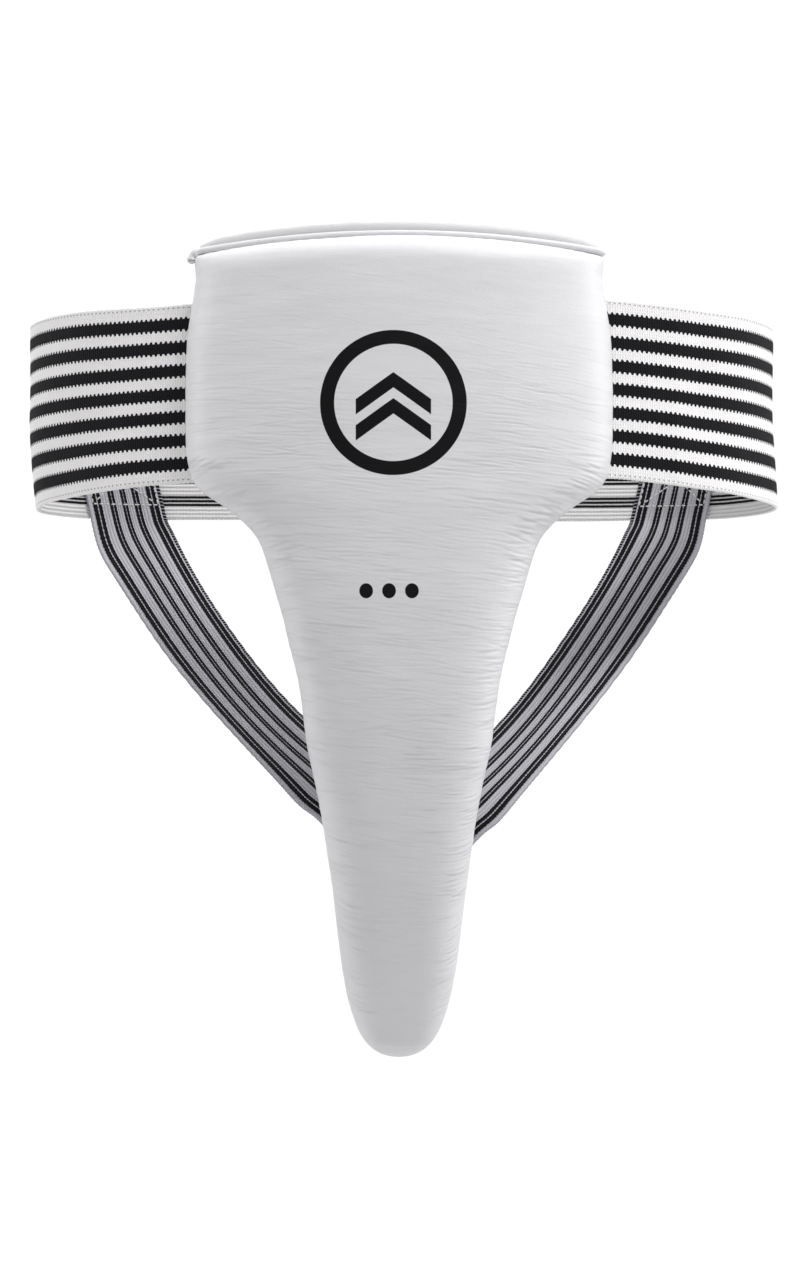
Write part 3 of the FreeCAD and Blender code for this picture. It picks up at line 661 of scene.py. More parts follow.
M = {
    "skin": leather("guard_leather", printed=True),
    "piping": leather("piping_leather", (0.70, 0.695, 0.71), fine=0.4),
    # darker than the guard's leather: partly the back panel's own tone, partly painted shade of the
    # recess above the piping
    "roll": leather("roll_leather", (0.665, 0.655, 0.665), fine=0.15),
    "binding": leather("binding_leather", (0.76, 0.76, 0.77), fine=0.5),
    "lip": leather("lip_leather", (0.66, 0.66, 0.67), fine=0.5),
    "lining": weave("lining_cloth", (0.66, 0.66, 0.67), pitch=0.9, depth=0.00016, rough=0.8,
                    sheen=0.15),
    "belt_out": knit("belt_knit_outer", belt_outer_pattern, (0.95, 0.935, 0.94)),
    "belt_in": knit("belt_knit_inner", belt_inner_pattern, (0.78, 0.77, 0.77)),
    "strap": knit("strap_knit", strap_pattern, (0.495, 0.485, 0.525)),
    "tab": weave("tab_webbing", (0.72, 0.72, 0.71), pitch=1.5, depth=0.00040, rough=0.8,
                 sheen=0.1),
    "tape": weave("tape_cloth", (0.72, 0.72, 0.71), pitch=0.8, depth=0.0002),
    "loop": pile("loop_pile", (0.74, 0.74, 0.73)),
    "hook": hook_plastic("hook_nylon", (0.74, 0.74, 0.72)),
    "thread_grey": thread("thread_grey", (0.50, 0.50, 0.51)),
    "thread_white": thread("thread_white", (0.74, 0.74, 0.73)),
    "thread_mid": thread("thread_mid", (0.36, 0.36, 0.37)),
    "cord": thread("cord_cotton", (0.70, 0.69, 0.66)),
    "foam_soft": foam("foam_soft", (0.72, 0.70, 0.62), cells=1500.0),
    "foam_firm": foam("foam_firm", (0.12, 0.12, 0.13), cells=2500.0),
}

# ------------------------------------------------------------------ creases of the guard skin
# The relief is kept as a map over x and s.
CELL = 0.3
MAP_X0, MAP_S0 = -115.0, -30.0
MAP_SHAPE = (int((LENGTH - 2 * MAP_S0) / CELL), int(-2 * MAP_X0 / CELL))
# where the skin creases most: gain, x, spread in x, s, spread in s
CREASED = [(0.55, 62, 34, 95, 60), (0.45, -55, 30, 60, 60),
           (0.60, 28, 22, 215, 75), (0.35, -20, 26, 170, 60)]


def smooth_noise(spread_x, spread_s, seed):
    """Random field over the map with features this many cells in size: blurred white noise."""
    field = np.random.default_rng(seed).standard_normal(MAP_SHAPE)
    for axis, spread in ((1, spread_x), (0, spread_s)):
        reach = int(3 * spread)
        kernel = np.exp(-0.5 * (np.arange(-reach, reach + 1) / spread) ** 2)
        kernel /= np.sqrt((kernel ** 2).sum())
        n = field.shape[axis] + len(kernel)
        gain = np.expand_dims(np.fft.rfft(kernel, n), 1 - axis)
        field = np.fft.irfft(np.fft.rfft(field, n, axis) * gain, n, axis)
        field = np.take(field, np.arange(reach, reach + MAP_SHAPE[axis]), axis)
    return field / field.std()


def to_cell(x, s):
    return (x - MAP_X0) / CELL, (s - MAP_S0) / CELL


def crease_amount(x, s):
    amount = 0.45
    for gain, at_x, spread_x, at_s, spread_s in CREASED:
        amount += gain * math.exp(-(((x - at_x) / spread_x) ** 2 + ((s - at_s) / spread_s) ** 2))
    amount *= 0.14 + 0.86 * min(1.0, max(0.0, (s - 22) / 85.0))
    amount *= 0.30 + 0.70 * min(1.0, max(0.0, (LENGTH - 30 - s) / 60.0))
    return min(amount, 1.15)


def crease_maps():
    """Height of the skin's relief in mm, and the shade painted into its creases, 0..1."""
    height, dark = np.zeros(MAP_SHAPE), np.zeros(MAP_SHAPE)

    def stroke(x, s, length, angle, bend, depth, sigma):
        """One groove with raised lips, tapering to its ends."""
        cx, cs = to_cell(x, s)
        n = int((length / 2 + 3 * sigma) / CELL) + 4
        i0, i1 = max(0, int(cs) - n), min(MAP_SHAPE[0], int(cs) + n)
        j0, j1 = max(0, int(cx) - n), min(MAP_SHAPE[1], int(cx) + n)
        ii, jj = np.mgrid[i0:i1, j0:j1]
        dx, ds = (jj - cx) * CELL, (ii - cs) * CELL
        along = dx * math.cos(angle) + ds * math.sin(angle)
        off = -dx * math.sin(angle) + ds * math.cos(angle) - bend * along * along
        taper = clip01(1 - (2 * along / length) ** 2) ** 1.3
        groove = np.exp(-(off / sigma) ** 2)
        lips = np.exp(-((np.abs(off) - 2.1 * sigma) / (1.2 * sigma)) ** 2)
        height[i0:i1, j0:j1] += depth * taper * (-groove + 0.45 * lips)
        # painted shade along the bottom of the groove
        dark[i0:i1, j0:j1] += clip01(depth / 0.22) * taper * groove

    r = np.random.default_rng(5)
    made = 0
    while made < 2300:
        x, s = r.uniform(-98, 98), r.uniform(4, LENGTH - 6)
        w = float(half_w(z_of(s)))
        if abs(x) > w - 1 or r.uniform() > crease_amount(x, s):
            continue
        angle = 0.075 + 0.02 * (x / 90) + r.normal(0, 0.07)
        stroke(x, s, length=r.uniform(10, 34) * (0.6 + 0.5 * w / 95), angle=angle,
               bend=r.normal(0, 0.0035),
               depth=r.uniform(0.022, 0.085) * (0.35 + crease_amount(x, s)),
               sigma=r.uniform(0.24, 0.36))
        made += 1
    # a few longer, deeper folds
    for _ in range(120):
        x, s = r.uniform(-80, 90), r.uniform(40, LENGTH - 40)
        w = float(half_w(z_of(s)))
        if abs(x) > w - 4:
            continue
        stroke(x, s, length=r.uniform(18, 42) * (0.5 + 0.5 * w / 95),
               angle=0.08 + r.normal(0, 0.06), bend=r.normal(0, 0.002),
               depth=r.uniform(0.09, 0.20) * crease_amount(x, s), sigma=r.uniform(0.30, 0.48))
    # fans of folds where the edge turns at the shoulders, and short ones down both tail edges
    for side in (-1, 1):
        for _ in range(46):
            s = s_of_z(-30.0) + 50.0 * r.uniform()
            w = float(half_w(z_of(s)))
            stroke(side * (w - r.uniform(2, 12)), s, length=r.uniform(8, 20),
                   angle=side * r.uniform(-0.15, 0.40), bend=0.0,
                   depth=r.uniform(0.10, 0.22), sigma=r.uniform(0.4, 0.7))
        for _ in range(90 if side > 0 else 60):
            s = r.uniform(150, LENGTH - 25)
            w = float(half_w(z_of(s)))
            stroke(side * (w - r.uniform(0, 9)), s, length=r.uniform(6, 16),
                   angle=side * r.normal(0.05, 0.12), bend=0.0,
                   depth=r.uniform(0.08, 0.20), sigma=r.uniform(0.35, 0.6))
    height += 0.05 * smooth_noise(26, 7, 1) + 0.14 * smooth_noise(70, 28, 2)
    height += 0.012 * smooth_noise(9, 2.4, 3)
    return height, clip01(dark)


def lookup(field, x, s):
    """Value of a map at x, s, blended between cells."""
    j, i = to_cell(x, s)
    i, j = np.clip(i, 0, MAP_SHAPE[0] - 1.001), np.clip(j, 0, MAP_SHAPE[1] - 1.001)
    i0, j0 = i.astype(int), j.astype(int)
    fi, fj = i - i0, j - j0
    return (field[i0, j0] * (1 - fi) * (1 - fj) + field[i0 + 1, j0] * fi * (1 - fj)
            + field[i0, j0 + 1] * (1 - fi) * fj + field[i0 + 1, j0 + 1] * fi * fj)


RELIEF, CREASE_SHADE = crease_maps()


# ------------------------------------------------------------------ guard skin
def spaced(values, width, height, count):
    """Pick count values that are evenly spaced along the curve (width, height)."""
    arc = arc_of(np.stack([width, height], -1))
    return np.interp(np.linspace(0, arc[-1], count), arc, values)


def spaced_across(count):
    half = (1 - np.linspace(0, 1, 4000) ** 3)[:-1]
    across = np.concatenate([-half, [0], half[::-1]])
    return spaced(across, 80.0 * across, 26.0 * dome_across(across), count)


def spaced_down(count):
    down = np.concatenate([np.linspace(0, 1, 3000) ** 3 * 0.1, np.linspace(0.1, 0.9, 4000)[1:-1],
                           1 - np.linspace(1, 0, 3000) ** 3 * 0.1])
    return spaced(down, down * LENGTH, 25.0 * dome(0 * down, down), count)


def guard_skin():
    cols, rows = ((400, 960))
    across, down = np.meshgrid(spaced_across(cols), spaced_down(rows))
    x, s = planform(across, down)
    rise = dome(across, down)
    base = point(x, s, COVER_BASE + thick(down) * rise)
    # the very rim stays on the seam
    edge = clip01(rise / 0.22) ** 1.5
    # puckers where the skin is gathered into the rim seam
    pucker = (0.05 * np.sin(s * 2 * math.pi / 6.3 + 2.2 * np.sin(s / 17.0))
              * np.exp(-((rise - 0.25) / 0.22) ** 2))
    pucker_top = (0.06 * np.sin(x * 2 * math.pi / 5.7 + 1.9 * np.sin(x / 13.0))
                  * np.exp(-((s - 4.0) / 4.0) ** 2))
    relief = (lookup(RELIEF, x, s) * edge + pucker * clip01(np.abs(across) * 3 - 2)
              + pucker_top * edge)
    normals = unit(np.cross(np.gradient(base, axis=0), np.gradient(base, axis=1)))
    outer = base + normals * relief[..., None]
    across, down = np.meshgrid(spaced_across(cols // 5), spaced_down(rows // 5))
    in_x, in_s = planform(across, down, SKIN_T)
    inner = point(in_x, in_s,
                  COVER_BASE + (thick(down) - SKIN_T - 0.4) * dome(across, down))
    # the crease attribute holds the painted shade of the creases
    ob = shell("guard_skin", outer, inner, np.stack([x, s], -1), np.stack([in_x, in_s], -1),
               [M["skin"]], attrs={"crease": lookup(CREASE_SHADE, x, s) * edge})
    register(ob, "guard_leather", "guard", "front_cover")


guard_skin()


# ------------------------------------------------------------------ lining with its lip
def lining_plan(across, down):
    """planform, with the top edge drawn up into the lip."""
    x, s = planform(across, down)
    corner = np.abs(across) ** 8
    top = clip01(1 - s / 9.0)
    return x * (1 - 0.012 * corner * top), s - LIP * (1.0 - 0.45 * corner) * top


def guard_lining():
    cols, rows = ((240, 460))
    t = np.linspace(-1, 1, cols)
    line_a = np.sign(t) * (1 - (1 - np.abs(t)) ** 1.35)
    q = np.linspace(0, 1, rows)
    line_b = np.where(q < 0.5, 0.5 * (2 * q) ** 1.25, 1 - 0.5 * (2 * (1 - q)) ** 1.25)
    across, down = np.meshgrid(line_a, line_b)
    x, s = lining_plan(across, down)
    from_side = (1 - np.abs(across)) * np.maximum(half_w(z_of(s)), 1.0)
    from_top, from_tip = down * LENGTH, (1 - down) * LENGTH
    rim = np.minimum(np.minimum(from_side, from_top + LIP * 0.8), from_tip)
    along = np.where(from_side < np.minimum(from_top + LIP, from_tip), s, x)
    groove = -0.42 * np.exp(-((rim - 4.0) / 0.9) ** 2)
    pucker = 0.13 * np.sin(along * 2 * math.pi / 6.4) * np.exp(-((rim - 4.5) / 3.0) ** 2)
    pillow = 0.315 * clip01((rim - 4.0) / 12.0) ** 0.6
    creases = lookup(RELIEF, -x * 0.9, s * 0.95) * 0.55 * clip01((rim - 5) / 6)
    edge = 0.5 * (1 - clip01(rim) ** 0.5)
    body_side = point(x, s, edge - (groove + pucker + pillow + creases))
    coarse = [np.interp(np.linspace(0, len(line) - 1, len(line) // 4), np.arange(len(line)), line)
              for line in (line_a, line_b)]
    out_x, out_s = lining_plan(*np.meshgrid(*coarse))
    # body side is cloth; the lip above the skin and the piping is leather
    ob = shell("guard_lining", body_side, point(out_x, out_s, LINING_T), np.stack([x, s], -1),
               np.stack([out_x, out_s], -1), [M["lining"], M["lip"]], bottom_mat=1)
    register(ob, "lining", "guard", "back_lining")


guard_lining()


# ------------------------------------------------------------------ stitches
STITCH_R = 0.34


def stitches(name, runs, mat, node, body, slot, pitch=3.2, length=2.5):
    """runs: (points, outward normals) polylines; each gets evenly pitched, domed stitches."""
    verts, faces, uvs = [], [], []
    sides, rings = 6, 7
    r = np.random.default_rng(len(name) * 7 + 3)
    x = np.linspace(-1, 1, rings)
    radius = STITCH_R * np.sqrt(np.clip(1 - x ** 4, 0.03, 1))
    lift = STITCH_R * (0.55 * (1 - x ** 2) + 0.10)
    for points, normals in runs:
        both = np.concatenate([np.asarray(points, float), unit(np.asarray(normals, float))], 1)
        both, arc = resample(both, 0.4)
        both[:, 3:] = unit(both[:, 3:])
        count = max(1, int(round(arc[-1] / pitch)))
        step = arc[-1] / count
        for k in range(count):
            middle = (k + 0.5) * step + r.normal(0, 0.05)
            long = min(length, step * 0.82) * r.uniform(0.95, 1.04)
            us = np.linspace(middle - long / 2, middle + long / 2, rings)
            here = np.stack([np.interp(us, arc, column) for column in both.T], -1)
            centre, out = here[:, :3], unit(here[:, 3:])
            wide = unit(np.cross(unit(np.gradient(centre, axis=0)), out))
            base = len(verts)
            for i in range(rings):
                for j in range(sides):
                    a = 2 * math.pi * j / sides
                    verts.append(centre[i] + wide[i] * math.cos(a) * radius[i]
                                 + out[i] * (math.sin(a) * radius[i] * 0.75 + lift[i]))
                    uvs.append((us[i], j * 0.35))
            faces += wall_faces(rings, sides, base)
            faces.append(tuple(base + j for j in range(sides))[::-1])
            faces.append(tuple(base + (rings - 1) * sides + j for j in range(sides)))
    ob = build(name, np.array(verts), faces, np.array(uvs), [mat])
    register(ob, slot, body, node)


def rim_seam():
    """Down the left edge, round the tip and up the right, then along the lip."""
    down = np.linspace(0.015, 0.985, 260)
    tip = np.linspace(-0.9, 0.9, 40)
    legs = [planform(across, place, 4.0) for across, place in (
        (np.full_like(down, -1.0), down), (tip, np.ones_like(tip)),
        (np.full_like(down, 1.0), down[::-1]))]
    points = np.concatenate([point(x, s, 0.42) for x, s in legs])
    normals = np.concatenate([-normal_at(s) for _, s in legs])
    x, z = points[:, 0], points[:, 2]
    # no stitches under the belt ends and the strap ends
    free = ~(((np.abs(z) < 46) & (np.abs(x) > 60)) | ((z > -217) & (z < -172)))
    groups = np.split(np.arange(len(points)), np.flatnonzero(free[1:] != free[:-1]) + 1)
    runs = [(points[g], normals[g]) for g in groups if free[g[0]] and len(g) > 4]
    across = np.linspace(-0.94, 0.94, 120)
    x, s = planform(across, np.zeros_like(across))
    return runs + [(point(x, s - LIP + 3.2, 0.30), -normal_at(s))]


stitches("rim_seam", rim_seam(), M["thread_grey"], "rim_seam_thread", "guard", "thread_grey")


# ------------------------------------------------------------------ piping along the top edge
def tube(name, centre, radius, mat, sides):
    """Closed round piece along a line; radius(station, angle, arc) in mm."""
    n = len(centre)
    t = unit(np.gradient(centre, axis=0))
    wide = unit(np.cross(t, [0.0, 0.0, 1.0]))
    high = unit(np.cross(wide, t))
    arc = arc_of(centre)
    verts, uv = [], []
    for i in range(n):
        for j in range(sides):
            a = 2 * math.pi * j / sides
            verts.append(centre[i] + (wide[i] * math.cos(a) + high[i] * math.sin(a))
                         * radius(i, a, arc[i]))
            uv.append((arc[i], a * 1.5))
    faces = wall_faces(n, sides)
    for i, reverse in ((0, True), (n - 1, False)):
        middle = len(verts)
        verts.append(centre[i])
        uv.append((arc[i], 0))
        for j in range(sides):
            face = (middle, i * sides + j, i * sides + (j + 1) % sides)
            faces.append(face[::-1] if reverse else face)
    return build(name, np.array(verts), faces, np.array(uv), [mat])


# steps from the piping's first and last point to its turned-down ends, x y z
PIPING_LEAD = [(-0.9, 0.4, -5.2), (-1.3, 0.25, -3.4), (-0.9, 0.1, -1.4)]
PIPING_TRAIL = [(0.1, 0.1, -0.6), (0.15, 0.3, -1.5)]


def piping():
    across = np.linspace(-1.0, 1.0, 420)
    x, s = planform(across, np.zeros_like(across))
    line, _ = resample(point(x, s - PIPING_R - 0.2, COVER_BASE + 0.1 + PIPING_R), 0.45)
    r = np.random.default_rng(9)
    # pass over one draw per point of the plain line; the phases below are the ones after it
    r.normal(0, 0.25, len(line))
    poles = np.concatenate([line[0] + PIPING_LEAD, line[4:-4:6], line[-1] + PIPING_TRAIL])
    line, arc = resample(bspline(poles, 1600), 0.45)
    total = arc[-1]
    phase = np.cumsum(r.normal(0, 0.25, len(line)))

    def cover(i, angle, u):
        """Slightly wrinkled, with two knobs near the left end."""
        k = 1.0 + (0.015 * math.sin(u * 2 * math.pi / 3.1 + phase[i])
                   * (0.6 + 0.4 * math.sin(angle + u * 0.35)))
        k += 0.008 * math.sin(u * 2 * math.pi / 1.3 + 3 * math.sin(angle))
        k *= round_off(min(u, total - u), 1.4, floor=0.02)
        knobs = (0.75 * math.exp(-((u - 2.0) / 1.1) ** 2)
                 + 0.60 * math.exp(-((u - 5.2) / 1.3) ** 2))
        return PIPING_R * k + knobs

    def rope(_, angle, u):
        """Three twisted plies."""
        return 0.62 + 0.10 * math.cos(3 * (angle - u * 2.0))
    ob = tube("piping_bead", line, cover, M["piping"], sides=20)
    register(ob, "piping_leather", "guard", "piping_cover")
    ob = tube("piping_rope", line[24:-24], rope, M["cord"], sides=18)
    register(ob, "cord", "guard", "piping_cord")


piping()


def rim_roll():
    """The turned edge of the back panel: a soft roll that stands above the piping."""
    across = np.linspace(-0.995, 0.995, 360)
    x, s = planform(across, np.zeros_like(across))
    corner = np.abs(across) ** 8
    line = point(x * (1 - 0.012 * corner), s - 4.7 * (1 - 0.45 * corner), 0.75)
    line, arc = resample(line, 0.7)
    t = unit(np.gradient(line, axis=0))
    front = unit(np.cross(t, [0.0, 0.0, 1.0]))
    front = np.where(front[:, 1:2] > 0, -front, front)
    high = unit(np.cross(front, t))
    high = np.where(high[:, 2:3] < 0, -high, high)
    r = np.random.default_rng(41)
    puff = np.interp(arc, np.linspace(0, arc[-1], 40), r.normal(0, 0.10, 40))
    sides, n = 26, len(line)
    verts, uv = [], []
    for i in range(n):
        end = min(arc[i], arc[-1] - arc[i])
        k = round_off(end, 3.0, floor=0.05)
        tall = 2.95 * (1 - 0.42 * max(0.0, 1 - end / 9.0)) + puff[i]
        for j in range(sides):
            a = 2 * math.pi * j / sides
            wrinkle = arc[i] * 2 * math.pi / 4.3 + 2 * math.sin(arc[i] / 9.0) + a
            deep = 1.45 * (1 + 0.008 * math.sin(wrinkle))
            verts.append(line[i] + front[i] * math.cos(a) * deep * k
                         + high[i] * math.sin(a) * tall * k)
            uv.append((arc[i], a * 2.2))
    faces = wall_faces(n, sides)
    faces.append(tuple(range(sides)))
    faces.append(tuple((n - 1) * sides + j for j in range(sides))[::-1])
    ob = build("rim_roll", np.array(verts), faces, np.array(uv), [M["roll"]])
    register(ob, "piping_leather", "guard", "back_lining")


rim_roll()


# ------------------------------------------------------------------ belt halves
def belt_y(x, depth):
    """y on a belt half where it lies on the guard, depth mm into its thickness."""
    return float(back_y(0.0)) + x * x / (2 * WRAP_R) + GAP + depth + 0.1


def plan(rear):
    on_guard = [(x, belt_y(x, BAND_T / 2)) for x in ON_GUARD_X]
    return np.array([(x, y, 0.0) for x, y in on_guard + FLANK + rear])


def belt_section():
    """Closed section w, out, side (0 outer, 1 inner), rolled so that entries q and -1 - q
    face each other across the thickness."""
    count, edge = (178), 5
    r = BAND_T / 2
    reach = BELT_W / 2 - r
    w = np.linspace(-reach, reach, count)
    off = np.abs(((w + STRIPE_SHIFT) / BELT_STRIPE + 10.5) % 1 - 0.5) * BELT_STRIPE
    stripe = 0.10 / (1 + np.exp((off - 2.55) / 0.18)) * (np.abs(w) < 36)
    outer = r + stripe - 0.10 + 0.008 * np.cos(w * 2 * math.pi / BELT_CORD_OUT)
    inner = -r + 0.12 - 0.09 * np.cos((w + STRIPE_SHIFT) * 2 * math.pi / BELT_CORD_IN)
    angle = np.linspace(math.pi / 2, -math.pi / 2, edge + 2)[1:-1]
    bulge, turn = np.cos(angle) * r, np.sin(angle) * r
    parts = (np.concatenate([w, reach + bulge, w[::-1], -reach - bulge]),
             np.concatenate([outer, turn, inner[::-1], -turn]),
             np.repeat([0, 0, 1, 0], [count, edge, count, edge]))
    return [np.roll(part, edge // 2) for part in parts]


def belt(side, label, rear):
    body = label + "_belt"
    p, arc = resample(bspline(plan(rear), 4000), 1.1)
    total = arc[-1]
    t = unit(np.gradient(p, axis=0))
    out = np.stack([-t[:, 1], t[:, 0], 0 * t[:, 0]], -1)
    inside = np.array([0, -10.0, 0])
    out = out * np.where(((p - inside) * out).sum(1) < 0, -1.0, 1.0)[:, None]
    r = np.random.default_rng(21 if side < 0 else 22)
    wave = np.interp(arc, np.linspace(0, total, 26), r.normal(0, 0.28, 26))
    lean = np.interp(arc, np.linspace(0, total, 14), r.normal(0, 0.35, 14))
    # waves fade out towards the sewn end and the closure
    fade = clip01((arc - 24) / 30) * clip01((total - arc - 75) / 30)
    reach, y = np.abs(p[:, 0]), p[:, 1]
    ahead = clip01((34 - y) / 22)
    flank = smoothstep((reach - 118) / 40) * ahead
    rise = smoothstep((reach - 104) / 62) * ahead * (3.2 if side < 0 else 2.4)
    pull = SEWN_HIGH[side] * smoothstep(1 - (reach - 92) / 66) * clip01((-25 - y) / 15)
    flare = flank * (-4.4 if side < 0 else 2.2)

    w, h, inner = belt_section()
    near_edge = clip01(np.abs(w) / 40) ** 12
    low = clip01((-w - 2.0) / 38.0) ** 1.3
    high = clip01((w + 40.0) / 80.0)
    if side > 0:
        p, out = p * [-1, 1, 1], out * [-1, 1, 1]
    up = np.array([0.0, 0.0, 1.0])
    rows, uvs = [], []
    for i, u in enumerate(arc_of(p)):
        picot = 0.22 * abs(math.sin(u * math.pi / 2.2)) - 0.12
        cloth = w * (1 + (picot + 0.25 * math.sin(u / 23.0 + side) * fade[i]) / 40.0 * near_edge)
        bow = fade[i] * (wave[i] + lean[i] * (w / 40.0) + 0.25 * np.sin(w / 11.0 + u / 14.0))
        drawn = cloth + pull[i] + rise[i] * high
        rows.append(p[i] + up * drawn[:, None] + out[i] * (h + bow + flare[i] * low)[:, None])
        uvs.append(np.stack([np.full(len(w), u), cloth], -1))
    faces = ribbon_faces(len(p), len(w))
    index = np.zeros(len(faces), int)
    index[:(len(p) - 1) * len(w)] = np.tile(inner, len(p) - 1)
    ob = build(body + "_elastic", np.concatenate(rows), faces, np.concatenate(uvs),
               [M["belt_out"], M["belt_in"]], index)
    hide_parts(body + "_band", body + "_sewn_end")
    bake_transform(ob)


def belt_seam(side, label):
    """Two upright rows where a belt half is sewn to the guard."""
    runs = []
    z = np.linspace(-38, 38, 120)
    for x in (78.5, 82.5):
        y = belt_y(x, BAND_T)
        points = np.stack([np.full_like(z, side * x), np.full_like(z, y), z + SEWN_HIGH[side]], -1)
        runs.append((points, np.tile([-side * x / WRAP_R, 1.0, 0.0], (len(z), 1))))
    stitches(label + "_belt_seam", runs, M["thread_white"], label + "_belt_seam_thread",
             "guard", "thread_white")


belt(-1, "left", LEFT_REAR)
belt(1, "right", RIGHT_REAR)
belt_seam(-1, "left")
belt_seam(1, "right")


# ------------------------------------------------------------------ leg straps
def strap_mount(rear):
    """Function that gives place and inward normal on the belt, u along it from the strap."""
    base = bspline(plan(rear), 801)
    behind = np.where(base[:, 1] > 30)[0]
    middle = behind[np.argmin(np.abs(base[behind, 0] + 123.5))]
    arc = arc_of(base)
    tangents = unit(np.gradient(base, axis=0))

    def on_belt(u, z):
        at = arc[middle] + u + STRAP_LEAN * (z + 42.0)
        p = np.array([np.interp(at, arc, column) for column in base.T])
        t = unit(np.array([np.interp(at, arc, column) for column in tangents.T]))
        n = np.array([t[1], -t[0], 0.0])
        if n @ (-p) < 0:
            n = -n
        return np.array([p[0], p[1], z]), n
    return on_belt


def strap_poles(on_belt, lift):
    """Control grids of a strap's +Y and -Y faces at -X, from the belt down to the guard; then
    the last sewn centre, the direction of the sewn run and the direction across it."""
    us = STRAP_W * np.linspace(-0.5, 0.5, 5)
    back, front = [], []
    for z in (-6.0, -16.0, -26.0, -36.0, -42.0):
        mounts = [on_belt(u, z) for u in us]
        back.append([p + n * STRAP_ON_BELT for p, n in mounts])
        front.append([p + n * (STRAP_ON_BELT + STRAP_T) for p, n in mounts])
    p, n = on_belt(0, -42.0)
    centres = [p + n * (STRAP_ON_BELT + STRAP_T / 2)]
    for x, y, z, _, share in STRAP_FREE:
        shift = float(back_y(z + lift)) - float(back_y(z))
        centres.append(np.array([x, y + shift * share * share, z + lift * share]))
    sewn = [s_of_z(z + lift) for _, z in STRAP_SEWN]
    tail = [point(x, s, -GAP - STRAP_T / 2) for (x, _), s in zip(STRAP_SEWN, sewn)]
    centres = np.array(centres + tail)
    for k, (_, _, _, turn, _) in enumerate(STRAP_FREE, 1):
        t = unit(centres[k + 1] - centres[k - 1])
        w = unit(np.array([-t[2], 0, t[0]]))
        a = math.radians(turn)
        w = w * math.cos(a) - unit(np.cross(t, w)) * math.sin(a)
        v = unit(np.cross(w, t))
        if v[1] > 0:
            v = -v
        back.append([centres[k] + w * u - v * (STRAP_T / 2) for u in us])
        front.append([centres[k] + w * u + v * (STRAP_T / 2) for u in us])
    run = unit(tail[-1] - tail[0])
    for centre, s in zip(tail, sewn):
        w = unit(np.cross(run, normal_at(s)))
        if w[0] < 0:
            w = -w
        places = [centre + w * u for u in us]
        depths = [s_of_z(p[2]) for p in places]
        faces = [point(p[0], s_here, -GAP) for p, s_here in zip(places, depths)]
        front.append(faces)
        back.append([p - normal_at(s_here) * STRAP_T for p, s_here in zip(faces, depths)])
    return np.array(back), np.array(front), tail[-1], run, w


def strap_mesh(side, label, back, front):
    rows, cols = ((300, 131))

    def refine(poles):
        grid = np.stack([bspline(poles[:, j], rows) for j in range(poles.shape[1])], 1)
        return np.stack([bspline(row, cols) for row in grid])
    back, front = refine(back), refine(front)
    mid, out = (back + front) / 2, unit(front - back)
    arc = arc_of(mid[:, cols // 2])
    w = np.linspace(-STRAP_W / 2, STRAP_W / 2, cols)
    across = unit(mid[:, -1] - mid[:, 0])
    ribs = 0.085 * np.cos(w * 2 * math.pi / STRAP_CORD) - 0.09
    r = STRAP_T / 2
    half = ((r + ribs) * round_off(STRAP_W / 2 - np.abs(w), r, floor=0.03))[:, None]
    rng = np.random.default_rng(31 if side < 0 else 32)
    sag = bspline(rng.normal(0, 0.30, (8, 1)), rows)[:, 0]
    curl = bspline(rng.normal(0, 0.35, (6, 1)), rows)[:, 0]
    free = clip01((arc - 46) / 18) * clip01((arc[-1] - 22 - arc) / 20)
    verts, uvs = [], []
    bent = (w / 17.5) ** 2
    selvedge = np.sign(w) * clip01((np.abs(w) - 14.5) / 3)
    for i, u in enumerate(arc):
        picot = (0.26 * abs(math.sin(u * math.pi / 1.6)) - 0.12) * selvedge
        bend = free[i] * (sag[i] + curl[i] * bent + 0.9 * (1 - bent) * math.sin(u / 40.0))
        base = mid[i] + across[i] * picot[:, None] + out[i] * bend[:, None]
        verts.append(np.concatenate([base + out[i] * half, (base - out[i] * half)[::-1]]))
        uvs.append(np.stack([np.full(2 * cols, u), np.concatenate([w, w[::-1]])], -1))
    verts = np.concatenate(verts)
    if side > 0:
        verts = verts * [-1, 1, 1]
    ob = build(label + "_leg_elastic", verts, ribbon_faces(rows, 2 * cols),
               np.concatenate(uvs), [M["strap"]])
    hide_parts(label + "_leg_strap")
    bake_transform(ob)


def leg_strap(side, rear, label, lift):
    on_belt = strap_mount(rear)
    back, front, sewn_end, run, wide = strap_poles(on_belt, lift)
    strap_mesh(side, label, back, front)

    # a box with a cross at the belt
    flip = np.array([-side, 1.0, 1.0])
    top, bottom = -9.0, -33.5
    half = STRAP_W / 2 - 2.5

    def path(u0, z0, u1, z1):
        mounts = [on_belt(u0 + (u1 - u0) * f, z0 + (z1 - z0) * f) for f in np.arange(25) / 24]
        return ([(p + n * (STRAP_ON_BELT + STRAP_T)) * flip for p, n in mounts],
                [n * flip for _, n in mounts])
    box = [path(-half, top, half, top), path(half, top, half, bottom),
           path(half, bottom, -half, bottom), path(-half, bottom, -half, top),
           path(-half + 2, top - 1.5, half - 2, bottom + 1.5),
           path(-half + 2, bottom + 1.5, half - 2, top - 1.5)]
    stitches(label + "_strap_belt_stitch", box, M["thread_white"], label + "_strap_belt_thread",
             label + "_belt", "thread_grey", pitch=2.7, length=2.2)
    # two rows across the end on the guard
    rows = []
    for inset in (1.3, 3.9):
        points, normals = [], []
        for u in np.linspace(-half, half, 30):
            p = sewn_end - run * inset + wide * u
            s = s_of_z(p[2])
            points.append(point(p[0], s, -GAP - STRAP_T) * flip)
            normals.append(-normal_at(s) * flip)
        rows.append((points, normals))
    stitches(label + "_strap_tail_stitch", rows, M["thread_white"], label + "_strap_tail_thread",
             "guard", "thread_grey", pitch=2.7, length=2.2)


